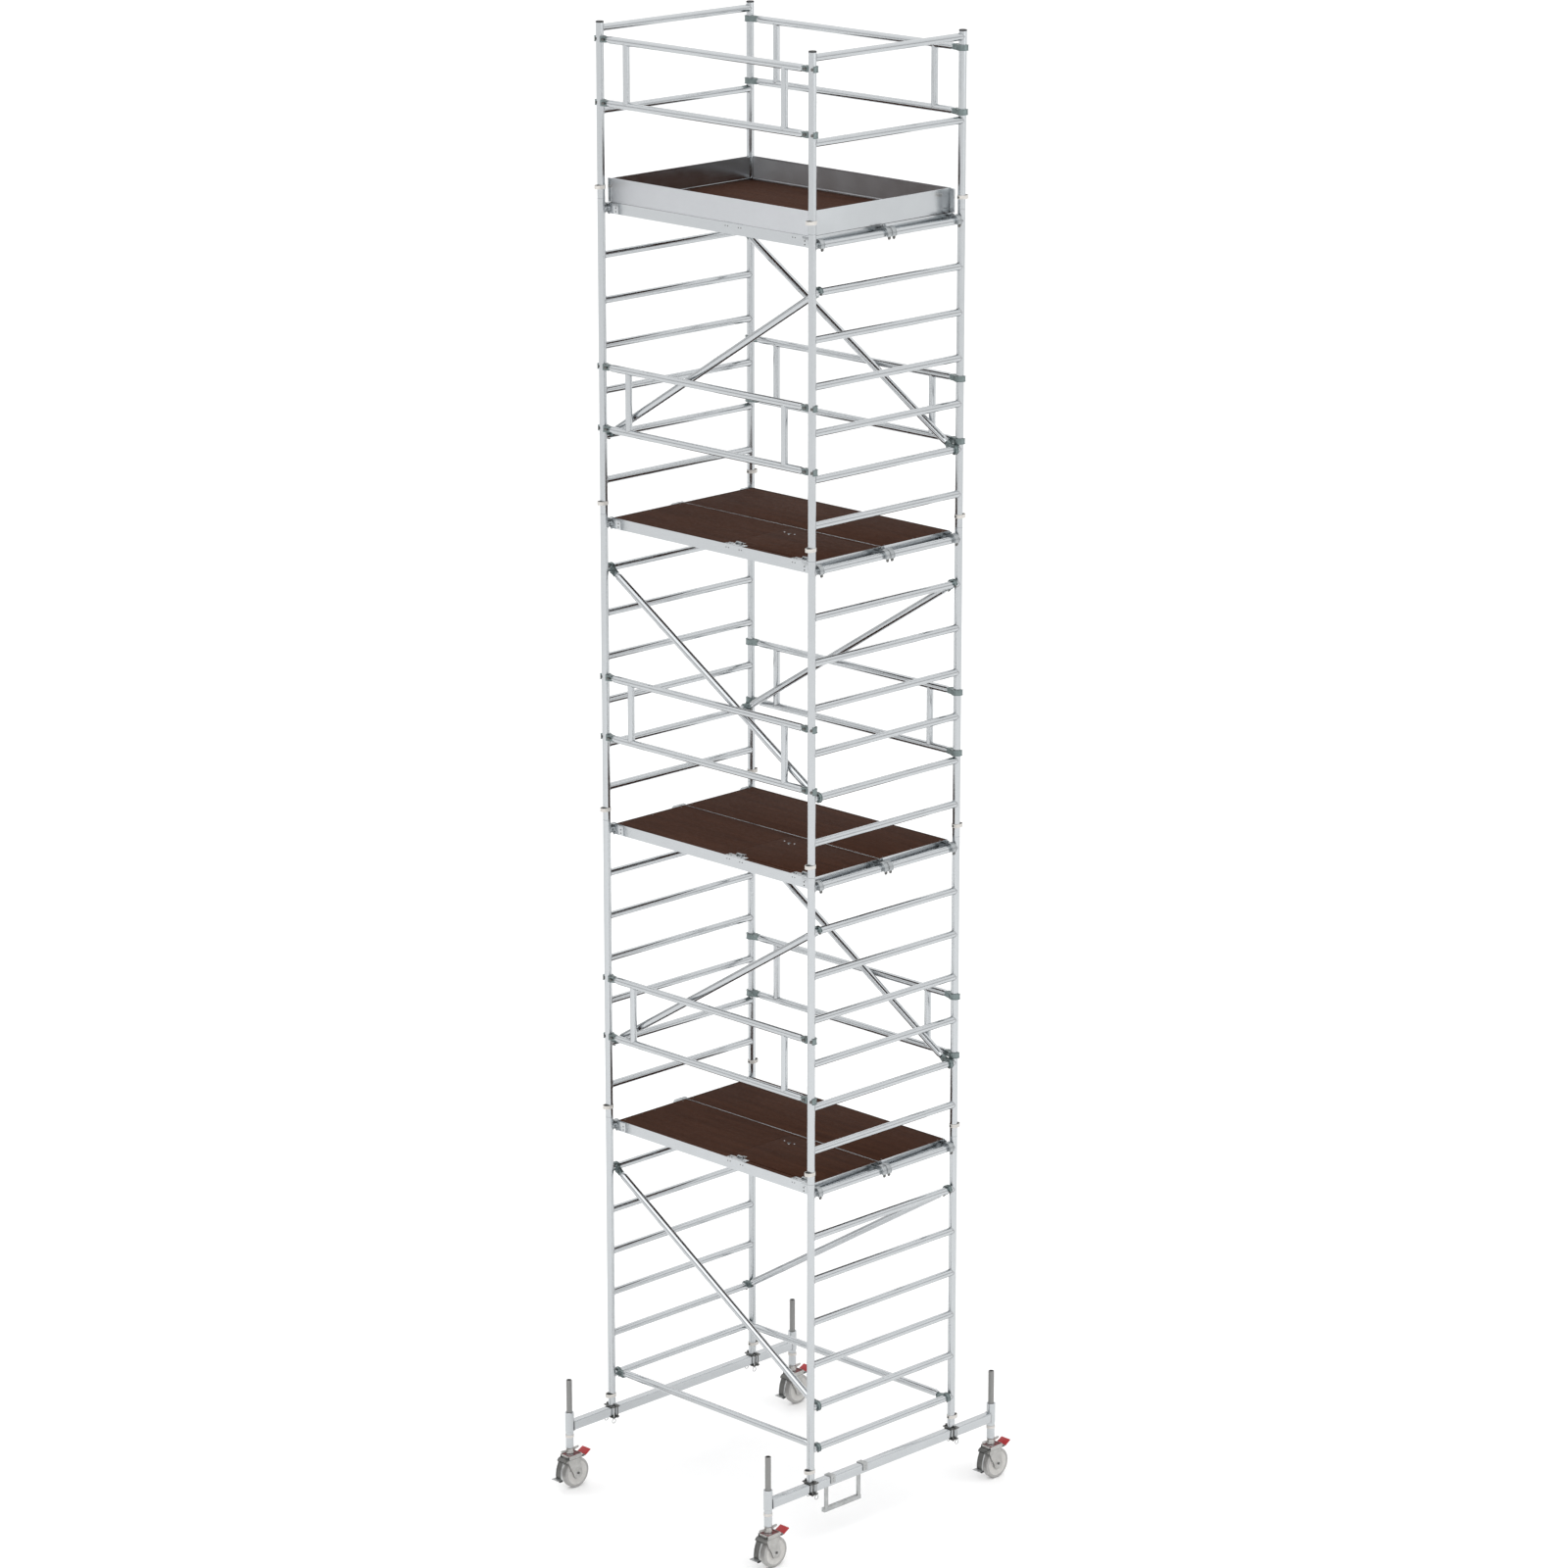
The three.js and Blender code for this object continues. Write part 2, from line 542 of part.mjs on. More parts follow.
for (const [end, side] of [['left', -1], ['right', 1]]) {
  place(`crossbeam_${end}`, crossbeamShape, 'aluminium', [side * half, 0, 0]);
  for (let level = 0; level < FRAME_LEVELS; level += 1) {
    const seam = FIRST_SEAM + level * FRAME_HEIGHT;
    place(`ladder_frame_${end}_${level + 1}`, ladderShape, 'aluminium', [side * half, 0, seam]);
  }
  const topSeam = FIRST_SEAM + FRAME_LEVELS * FRAME_HEIGHT;
  place(`guard_frame_${end}`, guardFrameShape, 'aluminium', [side * half, 0, topSeam]);
  for (const [row, way] of [['front', -1], ['back', 1]]) {
    const leg = [side * half, way * LEG_LINE];
    place(`leg_spindle_${row}_${end}`, spindleShape, 'zinc', [...leg, 0]);
    place(`caster_fork_${row}_${end}`, forkShape, 'casting', [...leg, 0]);
    place(`brake_rocker_${row}_${end}`, rockerShape, 'pedal', [...leg, 0]);
    place(`wheel_${row}_${end}`, wheelShape, 'tread', [leg[0], leg[1] + WHEEL_TRAIL, WHEEL_RADIUS]);
  }
}

for (let level = 0; level < FRAME_LEVELS; level += 1) {
  const firstRung = FIRST_RUNG + level * FRAME_HEIGHT;
  const deckRung = firstRung + DECK_RUNG_IN_FRAME * RUNG_PITCH;
  const railAbove = level === FRAME_LEVELS - 1 ? TOP_RAIL_ABOVE_DECK_RUNG : RAIL_ABOVE_DECK_RUNG;
  const number = level + 1;
  place(`deck_front_${number}`, frontDeckShape, 'decking', [0, 0, deckRung]);
  place(`deck_back_${number}`, backDeckShape, 'decking', [0, 0, deckRung], halfTurn);
  place(`hatch_${number}`, hatchShape, 'decking', [0, 0, deckRung]);
  const post = POST_SPACING / 2;
  place(`guard_rail_front_${number}`, guardRailShape, 'aluminium', [0, -post, deckRung + railAbove]);
  place(`guard_rail_back_${number}`, guardRailShape, 'aluminium', [0, post, deckRung + railAbove], halfTurn);

  // Front braces climb to the left on odd-numbered levels and to the right on even ones; the back
  // braces climb the other way.
  const slope = Math.atan2((BRACE_HIGH_RUNG - BRACE_LOW_RUNG) * RUNG_PITCH, BAY_LENGTH);
  const lowRung = firstRung + BRACE_LOW_RUNG * RUNG_PITCH;
  for (const [row, way] of [['front', -1], ['back', 1]]) {
    const climbsRight = (level % 2 === 0) === (way > 0);
    const turn = climbsRight ? [0, -slope, 0] : [0, slope, Math.PI];
    const foot = climbsRight ? -half : half;
    place(`brace_${row}_${number}`, braceShape, 'aluminium', [foot, way * BRACE_LINE, lowRung], turn);
  }
}

place('base_bar_front', baseBarShape, 'aluminium', [-half, -BRACE_LINE, FIRST_RUNG]);
place('base_bar_back', baseBarShape, 'aluminium', [-half, BRACE_LINE, FIRST_RUNG]);
place('access_step', geometryOf(accessStep()), 'zinc', [half, 0, 0]);
const topDeckRung = FIRST_RUNG + (FRAME_LEVELS * RUNGS_PER_FRAME - 1) * RUNG_PITCH;
place('toe_boards', geometryOf(toeBoards()), 'panel', [0, 0, topDeckRung]);

// The casters trail to one side, so the whole is moved to stand centred over the origin.
tower.updateMatrixWorld(true);
const extent = new THREE.Box3().setFromObject(tower, true);
tower.position.set(-(extent.min.x + extent.max.x) / 2, -(extent.min.y + extent.max.y) / 2, 0);

export default tower;
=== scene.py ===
"""Looks of a mobile tower scaffold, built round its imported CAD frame. Metres, +Z up, front at -Y."""

import math

import bmesh
import bpy
from mathutils import Matrix, Vector


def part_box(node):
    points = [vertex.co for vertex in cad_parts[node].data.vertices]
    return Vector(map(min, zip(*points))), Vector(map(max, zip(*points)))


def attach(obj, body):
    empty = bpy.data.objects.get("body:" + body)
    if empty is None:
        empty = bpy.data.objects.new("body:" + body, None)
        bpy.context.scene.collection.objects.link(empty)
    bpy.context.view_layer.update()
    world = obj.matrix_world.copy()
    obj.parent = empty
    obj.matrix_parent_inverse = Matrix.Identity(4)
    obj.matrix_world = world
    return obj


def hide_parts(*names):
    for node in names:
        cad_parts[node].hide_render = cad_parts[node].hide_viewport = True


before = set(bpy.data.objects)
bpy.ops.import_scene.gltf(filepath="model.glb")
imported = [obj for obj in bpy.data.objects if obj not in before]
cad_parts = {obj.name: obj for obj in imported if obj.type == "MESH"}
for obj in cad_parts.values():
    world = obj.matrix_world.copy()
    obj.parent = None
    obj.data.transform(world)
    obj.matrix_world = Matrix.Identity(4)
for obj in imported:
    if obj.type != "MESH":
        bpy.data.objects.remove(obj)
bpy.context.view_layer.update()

# ---------------------------------------------------------------- sizes

POST_RADIUS = 0.0240
TUBE_RADIUS = 0.0225
UPRIGHT_RADIUS = 0.0210
SLIP = 0.0005
FRAME_HEIGHT = 1.960
RUNG_PITCH = 0.280
RUNGS_PER_FRAME = 7
RUNG_ABOVE_SEAM = 0.210
GUARD_FRAME_HEIGHT = 1.076
GUARD_FRAME_RAILS = (0.534, 1.033)
CLIP_ABOVE_SEAM = 0.070

DECK_HALF_WIDTH = 0.603
DECK_SEAM = 0.002
DECK_END = 0.858
DECK_TOP = 0.047
DECK_BOTTOM = -0.021
BOARD_TOP = 0.045
BOARD_THICKNESS = 0.012
LIP = 0.002
HOOK_WIDTH = 0.036
HATCH_FROM = 0.110
HATCH_TO = 0.828
HATCH_HINGES = (0.205, 0.770)
HATCH_INSET = 0.048
HINGE_HEIGHT = 0.056
FINGER_HOLE = (0.215, -0.140)
LATCH_RIVETS = ((-0.049, 0.009), (0.014, -0.018), (0.039, 0.008))

RAIL_SPACING = 0.385
RAIL_CLAW_HEIGHT = 0.035
UPRIGHT_AT = 0.670
CLAW_WALL = 0.009
CLAW_REACH = 0.078
BRACE_RISE = 1.120
BRACE_CLAW_WIDTH = 0.022
BASE_BAR_RISE = 0.011

BEAM_TOP = 0.460
BEAM_HEIGHT = 0.062
BEAM_WIDTH = 0.050
SLEEVE_TOP = 0.523
SLEEVE_BOTTOM = 0.283
NUT_BOTTOM = 0.239
SPINDLE_TOP = 0.743
FORK_TOP = 0.238
WHEEL_TRAIL = 0.045
WHEEL_RADIUS = 0.100
WHEEL_HALF_WIDTH = 0.023
ROCKER_PIVOT = (0.008, 0.213)
TOE_TOP = 0.195

# ---------------------------------------------------------------- places, read from the frame


def middle(node):
    low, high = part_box(node)
    return (low + high) / 2


FIRST_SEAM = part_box("ladder_frame_right_1")[0].z - SLIP
END_X = middle("ladder_frame_right_1").x
MID_Y = middle("ladder_frame_right_1").y
LADDER_LOW, LADDER_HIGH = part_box("ladder_frame_right_1")
POST_Y = (LADDER_HIGH.y - LADDER_LOW.y) / 2 - 0.0245
BRACE_Y = MID_Y - middle("brace_front_1").y
BAY_LENGTH = 2 * END_X
LEG_Y = MID_Y - middle("leg_spindle_front_right").y
FIRST_RUNG = FIRST_SEAM + RUNG_ABOVE_SEAM
TOP_SEAM = FIRST_SEAM + 4 * FRAME_HEIGHT


def moved(x, y, z):
    return Matrix.Translation((x, y, z))


def at(x, y, z, turn=0.0):
    """Place in the row frame, from x and y counted from the tower's middle."""
    return moved(x, y + MID_Y, z) @ Matrix.Rotation(turn, 4, "Z")


# ---------------------------------------------------------------- materials


def add_node(tree, kind, **settings):
    node = tree.nodes.new(kind)
    for key, value in settings.items():
        setattr(node, key, value)
    return node


def noise(tree, vector, scale, detail=5.0, roughness=0.6):
    node = add_node(tree, "ShaderNodeTexNoise")
    node.inputs["Scale"].default_value = scale
    node.inputs["Detail"].default_value = detail
    node.inputs["Roughness"].default_value = roughness
    tree.links.new(vector, node.inputs["Vector"])
    return node.outputs["Fac"]


def between(tree, factor, low, high, start=0.3, end=0.7):
    node = add_node(tree, "ShaderNodeMapRange")
    node.inputs["From Min"].default_value = start
    node.inputs["From Max"].default_value = end
    node.inputs["To Min"].default_value = low
    node.inputs["To Max"].default_value = high
    tree.links.new(factor, node.inputs["Value"])
    return node.outputs["Result"]


def mixed(tree, factor, first, second, blend="MIX"):
    node = add_node(tree, "ShaderNodeMix", data_type="RGBA", blend_type=blend)
    for socket, value in ((node.inputs[6], first), (node.inputs[7], second)):
        if isinstance(value, tuple):
            socket.default_value = (*value, 1.0)
        else:
            tree.links.new(value, socket)
    if isinstance(factor, float):
        node.inputs[0].default_value = factor
    else:
        tree.links.new(factor, node.inputs[0])
    return node.outputs[2]


def scaled(colour, amount):
    return tuple(min(1.0, channel * amount) for channel in colour)


def start_material(name, metallic):
    made = bpy.data.materials.new(name)
    made.use_nodes = True
    tree = made.node_tree
    shader = tree.nodes["Principled BSDF"]
    shader.inputs["Metallic"].default_value = metallic
    coordinates = add_node(tree, "ShaderNodeTexCoord").outputs["Object"]
    return made, tree, shader, coordinates


def stretched(tree, coordinates, scale):
    node = add_node(tree, "ShaderNodeMapping")
    node.inputs["Scale"].default_value = scale
    tree.links.new(coordinates, node.inputs["Vector"])
    return node.outputs["Vector"]


def bump(tree, shader, height, strength, distance):
    node = add_node(tree, "ShaderNodeBump")
    node.inputs["Strength"].default_value = strength
    node.inputs["Distance"].default_value = distance
    tree.links.new(height, node.inputs["Height"])
    tree.links.new(node.outputs["Normal"], shader.inputs["Normal"])


def drawn_metal(name, colour, roughness, along):
    """Extruded or drawn metal: fine lines along the given axis, soft blotches, a few duller patches."""
    made, tree, shader, coordinates = start_material(name, 1.0)
    line_scale = [1.0, 1.0, 1.0]
    line_scale["XYZ".index(along)] = 0.02
    lines = noise(tree, stretched(tree, coordinates, line_scale), 900.0, 3.0)
    blotches = noise(tree, coordinates, 9.0, 6.0)
    tint = mixed(tree, between(tree, blotches, 0.0, 1.0), scaled(colour, 0.975), scaled(colour, 1.02))
    tint = mixed(tree, between(tree, lines, 0.0, 0.30), tint, scaled(colour, 0.86))
    tree.links.new(tint, shader.inputs["Base Color"])
    dull = between(tree, blotches, roughness - 0.02, roughness + 0.04)
    tree.links.new(dull, shader.inputs["Roughness"])
    bump(tree, shader, lines, 0.10, 0.0003)
    return made


def cast_metal(name, colour, roughness, grain=420.0, depth=0.0004, metallic=1.0):
    """Zinc-plated or cast metal: fine pitting, cloudy tone, rougher where it is darker."""
    made, tree, shader, coordinates = start_material(name, metallic)
    pits = noise(tree, coordinates, grain, 4.0)
    clouds = noise(tree, coordinates, 26.0, 6.0, 0.7)
    tint = mixed(tree, between(tree, clouds, 0.0, 1.0), scaled(colour, 0.80), scaled(colour, 1.10))
    tint = mixed(tree, between(tree, pits, 0.0, 0.4, 0.55, 0.8), tint, scaled(colour, 0.6))
    tree.links.new(tint, shader.inputs["Base Color"])
    tree.links.new(between(tree, clouds, roughness + 0.10, roughness - 0.06), shader.inputs["Roughness"])
    bump(tree, shader, pits, 0.35, depth)
    return made


def moulded_plastic(name, colour, roughness, grain=700.0):
    made, tree, shader, coordinates = start_material(name, 0.0)
    skin = noise(tree, coordinates, grain, 3.0)
    scuffs = noise(tree, coordinates, 34.0, 6.0, 0.7)
    tint = mixed(tree, between(tree, scuffs, 0.0, 1.0), scaled(colour, 0.88), scaled(colour, 1.08))
    tree.links.new(tint, shader.inputs["Base Color"])
    tree.links.new(between(tree, scuffs, roughness - 0.06, roughness + 0.12), shader.inputs["Roughness"])
    bump(tree, shader, skin, 0.25, 0.0003)
    return made


def deck_plywood(name):
    """Dark brown filmed plywood: long veins along X under a fine woven grip pattern."""
    made, tree, shader, coordinates = start_material(name, 0.0)
    veins = noise(tree, stretched(tree, coordinates, (0.25, 2.6, 1.0)), 7.0, 8.0, 0.65)
    flecks = noise(tree, stretched(tree, coordinates, (0.5, 1.4, 1.0)), 60.0, 6.0)
    tint = mixed(tree, between(tree, veins, 0.0, 1.0), (0.034, 0.0125, 0.0065), (0.056, 0.0215, 0.0110))
    tint = mixed(tree, between(tree, flecks, 0.0, 0.45, 0.45, 0.75), tint, (0.044, 0.0170, 0.0090))
    tree.links.new(tint, shader.inputs["Base Color"])
    tree.links.new(between(tree, flecks, 0.62, 0.80), shader.inputs["Roughness"])
    shader.inputs["Specular IOR Level"].default_value = 0.05
    weave = None
    for along, bands in (("X", "Y"), ("Y", "X")):
        wave = add_node(tree, "ShaderNodeTexWave", wave_type="BANDS", bands_direction=bands)
        wave.inputs["Scale"].default_value = 62.0
        wave.inputs["Distortion"].default_value = 0.4
        tree.links.new(coordinates, wave.inputs["Vector"])
        if weave is None:
            weave = wave.outputs["Fac"]
        else:
            joined = add_node(tree, "ShaderNodeMath", operation="MULTIPLY")
            tree.links.new(weave, joined.inputs[0])
            tree.links.new(wave.outputs["Fac"], joined.inputs[1])
            weave = joined.outputs[0]
    bump(tree, shader, weave, 0.5, 0.0006)
    return made


def floor_paint(name):
    made, tree, shader, coordinates = start_material(name, 0.0)
    speckle = noise(tree, coordinates, 3.0, 4.0)
    tint = mixed(tree, between(tree, speckle, 0.0, 1.0), (0.93, 0.93, 0.93), (0.95, 0.95, 0.95))
    tree.links.new(tint, shader.inputs["Base Color"])
    shader.inputs["Roughness"].default_value = 0.9
    shader.inputs["Specular IOR Level"].default_value = 0.1
    return made


ALUMINIUM = (0.51, 0.53, 0.545)
ALU_X = drawn_metal("aluminium_along_x", ALUMINIUM, 0.17, "X")
ALU_Y = drawn_metal("aluminium_along_y", ALUMINIUM, 0.17, "Y")
ALU_Z = drawn_metal("aluminium_along_z", ALUMINIUM, 0.22, "Z")
ALU_SHEET = drawn_metal("aluminium_sheet", (0.56, 0.575, 0.595), 0.40, "X")
WELD = cast_metal("weld_bead", (0.46, 0.47, 0.48), 0.42, 900.0)
ZINC = cast_metal("zinc_plate", (0.44, 0.45, 0.45), 0.38)
CLAW = cast_metal("claw_casting", (0.20, 0.24, 0.24), 0.36)
STEEL = drawn_metal("spindle_steel", (0.27, 0.27, 0.265), 0.40, "Z")
FORK = cast_metal("fork_steel", (0.46, 0.455, 0.44), 0.36)
HOOK = cast_metal("hook_casting", (0.40, 0.42, 0.43), 0.30)
DARK_STEEL = cast_metal("clamp_steel", (0.15, 0.15, 0.145), 0.42)
WHITE_CLIP = moulded_plastic("clip_band", (0.56, 0.54, 0.51), 0.45)
BLACK = moulded_plastic("black_plastic", (0.012, 0.012, 0.013), 0.45)
RED = moulded_plastic("red_pedal", (0.36, 0.012, 0.016), 0.38)
DARK_RED = moulded_plastic("dark_red_brake", (0.12, 0.012, 0.014), 0.5)
WHEEL = moulded_plastic("wheel_body", (0.52, 0.51, 0.49), 0.42)
TREAD = moulded_plastic("wheel_tread", (0.36, 0.355, 0.345), 0.62, 500.0)
BOARD = deck_plywood("deck_board")

# ---------------------------------------------------------------- shapes


def arc(radius, start, end, steps, centre=(0.0, 0.0)):
    angles = (math.radians(start + (end - start) * i / steps) for i in range(steps + 1))
    return [(centre[0] + radius * math.cos(a), centre[1] + radius * math.sin(a)) for a in angles]


def facing(start, end):
    """Matrix that puts local Z from start towards end."""
    start = Vector(start)
    return Matrix.Translation(start) @ (Vector(end) - start).to_track_quat("Z", "Y").to_matrix().to_4x4()


UPRIGHT_XZ = Matrix.Rotation(math.pi / 2, 4, "X")
UPRIGHT_YZ = Matrix.Rotation(math.pi / 2, 4, "Z") @ UPRIGHT_XZ
ALONG_X = Matrix.Rotation(math.pi / 2, 4, "Y")
ABOUT_FACE = Matrix.Rotation(math.pi, 4, "Z")


class Shape:
    """Collects solids of one piece, each with a material, in one mesh."""

    def __init__(self, *materials):
        self.mesh = bmesh.new()
        self.materials = materials

    def take(self, part, slot, matrix=None):
        if matrix is not None:
            bmesh.ops.transform(part, matrix=matrix, verts=part.verts)
        bmesh.ops.recalc_face_normals(part, faces=part.faces)
        for face in part.faces:
            face.material_index = slot
            face.smooth = True
        carrier = bpy.data.meshes.new("carrier")
        part.to_mesh(carrier)
        part.free()
        self.mesh.from_mesh(carrier)
        bpy.data.meshes.remove(carrier)

    def turned(self, profile, matrix, slot=0, sides=32, closed=False):
        """Solid of revolution about local Z; the profile is a list of (radius, height)."""
        part = bmesh.new()
        rings = []
        for radius, height in profile:
            if radius == 0:
                rings.append([part.verts.new((0, 0, height))])
                continue
            turns = (2 * math.pi * i / sides for i in range(sides))
            rings.append([
                part.verts.new((radius * math.cos(t), radius * math.sin(t), height)) for t in turns])
        pairs = list(zip(rings, rings[1:]))
        if closed:
            pairs.append((rings[-1], rings[0]))
        for low, high in pairs:
            for i in range(sides):
                j = (i + 1) % sides
                if len(low) == 1:
                    part.faces.new((low[0], high[i], high[j]))
                elif len(high) == 1:
                    part.faces.new((low[i], low[j], high[0]))
                else:
                    part.faces.new((low[i], low[j], high[j], high[i]))
        self.take(part, slot, matrix)

    def tube(self, start, end, radius, slot=0, sides=32, edge=0.0008):
        length = (Vector(end) - Vector(start)).length
        profile = [(0, 0), (radius - edge, 0), (radius, edge), (radius, length - edge),
                   (radius - edge, length), (0, length)]
        self.turned(profile, facing(start, end), slot, sides)

    def block(self, low, high, slot=0, edge=0.001):
        part = bmesh.new()
        bmesh.ops.create_cube(part, size=1.0)
        size = Vector(high) - Vector(low)
        bmesh.ops.scale(part, vec=size, verts=part.verts)
        bmesh.ops.translate(part, vec=(Vector(low) + Vector(high)) / 2, verts=part.verts)
        if edge > 0:
            bmesh.ops.bevel(part, geom=part.edges[:], offset=edge, segments=2, affect="EDGES", profile=0.5)
        self.take(part, slot)

    def slab(self, outline, width, matrix, slot=0, edge=0.0008):
        """Flat outline given thickness along local Z, centred, with its rims rounded."""
        part = bmesh.new()
        near = [part.verts.new((x, y, -width / 2)) for x, y in outline]
        far = [part.verts.new((x, y, width / 2)) for x, y in outline]
        count = len(outline)
        caps = [part.faces.new(near), part.faces.new(far)]
        for i in range(count):
            j = (i + 1) % count
            part.faces.new((near[i], near[j], far[j], far[i]))
        if edge > 0:
            rims = list({e for cap in caps for e in cap.edges})
            bmesh.ops.bevel(part, geom=rims, offset=edge, segments=2, affect="EDGES", profile=0.5)
        self.take(part, slot, matrix)

    def ring_wall(self, inner, outer, height, matrix, slot=0):
        """Closed band of the given height between two outlines with as many points."""
        part = bmesh.new()
        count = len(inner)
        corners = []
        for (xi, yi), (xo, yo) in zip(inner, outer):
            corners.append([part.verts.new(v) for v in (
                (xi, yi, -height / 2), (xo, yo, -height / 2), (xo, yo, height / 2), (xi, yi, height / 2))])
        for i in range(count):
            j = (i + 1) % count
            for k in range(4):
                m = (k + 1) % 4
                part.faces.new((corners[i][k], corners[j][k], corners[j][m], corners[i][m]))
        self.take(part, slot, matrix)

    def sweep(self, path, radius, slot=0, sides=10, closed=False, matrix=None):
        """Round wire along a list of points."""
        part = bmesh.new()
        points = [Vector(p) for p in path]
        count = len(points)
        rings = []
        for i, point in enumerate(points):
            before = points[i - 1] if (i > 0 or closed) else point
            after = points[(i + 1) % count] if (i < count - 1 or closed) else point
            turn = (after - before).to_track_quat("Z", "Y").to_matrix()
            rings.append([part.verts.new(point + turn @ Vector((
                radius * math.cos(2 * math.pi * k / sides), radius * math.sin(2 * math.pi * k / sides), 0)))
                for k in range(sides)])
        pairs = list(zip(rings, rings[1:]))
        if closed:
            pairs.append((rings[-1], rings[0]))
        else:
            part.faces.new(rings[0])
            part.faces.new(rings[-1])
        for low, high in pairs:
            shift = min(range(sides), key=lambda s: (high[s].co - low[0].co).length)
            for k in range(sides):
                m = (k + 1) % sides
                part.faces.new((low[k], low[m], high[(m + shift) % sides], high[(k + shift) % sides]))
        self.take(part, slot, matrix)

    def finished(self, name):
        made = bpy.data.meshes.new(name)
        self.mesh.to_mesh(made)
        self.mesh.free()
        for each in self.materials:
            made.materials.append(each)
        made.set_sharp_from_angle(angle=math.radians(38))
        return made


def put(name, template, matrix, body, nodes=()):
    """One copy of a template mesh, in place, riding a body and standing for CAD nodes."""
    mesh = template.copy()
    mesh.name = name
    mesh.transform(matrix)
    piece = bpy.data.objects.new(name, mesh)
    bpy.context.scene.collection.objects.link(piece)
    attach(piece, body)
    if nodes:
        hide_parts(*nodes)
    return piece


# ---------------------------------------------------------------- end frames


def weld(shape, side, z, slot):
    """Bead where a rung along Y meets a post of nearly the same width."""
    path = []
    for i in range(28):
        turn = 2 * math.pi * i / 28
        x = TUBE_RADIUS * math.cos(turn)
        depth = math.sqrt(POST_RADIUS ** 2 - x ** 2)
        path.append((x * 1.02, side * (POST_Y - depth - 0.0008), z + TUBE_RADIUS * 1.02 * math.sin(turn)))
    shape.sweep(path, 0.0022, slot, 8, closed=True)


def end_frame(height, rungs, caps):
    shape = Shape(ALU_Z, ALU_Y, WELD, BLACK)
    for side in (-1, 1):
        y = side * POST_Y
        top = height - 0.009 if caps else height
        shape.tube((0, y, 0.001), (0, y, top), POST_RADIUS, 0, 40, 0.0006)
        if caps:
            cap = [(0, -0.004), (0.0200, -0.004), (0.0244, 0.0), (0.0244, 0.0055), (0.0225, 0.0080),
                   (0.017, 0.009), (0, 0.009)]
            shape.turned(cap, moved(0, y, top), 3, 40)
        else:
            shape.tube((0, y, height - 0.01), (0, y, height + 0.06), 0.0207, 0, 32)
    for z in rungs:
        shape.tube((0, -POST_Y + 0.01, z), (0, POST_Y - 0.01, z), TUBE_RADIUS, 1, 36)
        for side in (-1, 1):
            weld(shape, side, z, 2)
    return shape.finished("end_frame")


def bulged_ring(radius, bulge, sides=56):
    """Outline of a circle that swells towards -Y."""
    points = []
    for i in range(sides):
        turn = 2 * math.pi * i / sides
        reach = radius + bulge * max(0.0, -math.sin(turn)) ** 2.4
        points.append((reach * math.cos(turn), reach * math.sin(turn)))
    return points


def locking_clip():
    """Band clipped round a joint, swelling outwards over a black filler that paints the shade of the hollow
    under the bulge, with its pin through the post.
    """
    shape = Shape(WHITE_CLIP, DARK_STEEL, BLACK)
    inner = bulged_ring(POST_RADIUS + 0.0010, 0.0200)
    outer = bulged_ring(POST_RADIUS + 0.0032, 0.0202)
    shape.ring_wall(inner, outer, 0.022, Matrix.Identity(4), 0)
    # Black filler under the bulge: painted shade of the hollow there.
    hollow_shade_inner = bulged_ring(POST_RADIUS + 0.0005, 0.0)
    hollow_shade_outer = bulged_ring(POST_RADIUS + 0.0008, 0.0198)
    shape.ring_wall(hollow_shade_inner, hollow_shade_outer, 0.013, moved(0, 0, -0.002), 2)
    shape.tube((0, 0.024, 0), (0, 0.0325, 0), 0.0060, 1, 20)
    return shape.finished("locking_clip")


# ---------------------------------------------------------------- claws, rails and braces


def claw_outline(bar_radius, wall, reach):
    """Snap-on claw round a bar at the origin: mouth down, arm towards +X, narrowing to a neck."""
    inside = bar_radius + SLIP
    outside = inside + wall
    neck = 0.0165
    return (
        arc(outside, 214, 38, 22)
        + [(outside + 0.014, neck + 0.001), (reach, neck), (reach, -neck), (outside + 0.010, -neck - 0.001)]
        + arc(outside, -38, -46, 2)
        + arc(inside, -46, 214, 28)
    )


def claw(shape, width, matrix, metal, dark, bar_radius):
    """Claw body between two thin cheeks, with its spring latch, trigger and rivets."""
    shape.slab(claw_outline(bar_radius, CLAW_WALL, CLAW_REACH), width - 0.006, matrix, metal, 0.0012)
    for side in (-1, 1):
        cheek = matrix @ moved(0, 0, side * (width / 2 - 0.0015))
        rim = claw_outline(bar_radius, CLAW_WALL + 0.002, CLAW_REACH - 0.012)
        shape.slab(rim, 0.003, cheek, metal, 0.0006)
        for x, y in ((0.045, 0.0), (0.0, bar_radius + 0.006)):
            shape.turned([(0, 0), (0.0045, 0), (0.0035, 0.0016), (0, 0.0020)],
                         matrix @ moved(x, y, side * width / 2) @ (
                             Matrix.Identity(4) if side > 0 else Matrix.Rotation(math.pi, 4, "X")), dark, 16)
    inside = bar_radius + 0.0012
    latch = arc(inside + 0.0065, 214, 244, 6) + arc(inside, 244, 214, 6)
    shape.slab(latch, width * 0.45, matrix, dark, 0.0006)
    trigger = [(0.030, -0.018), (0.052, -0.020), (0.058, -0.0235), (0.056, -0.0265), (0.034, -0.0245)]
    shape.slab(trigger, width * 0.4, matrix, dark, 0.0008)


def collar(shape, start, end, metal):
    """Swaged end of a tube where it grips a claw."""
    length = (Vector(end) - Vector(start)).length
    profile = [(0, 0), (0.0175, 0), (0.0188, 0.002), (0.0195, 0.010), (TUBE_RADIUS + 0.0002, length),
               (0, length)]
    shape.turned(profile, facing(start, end), metal, 32)


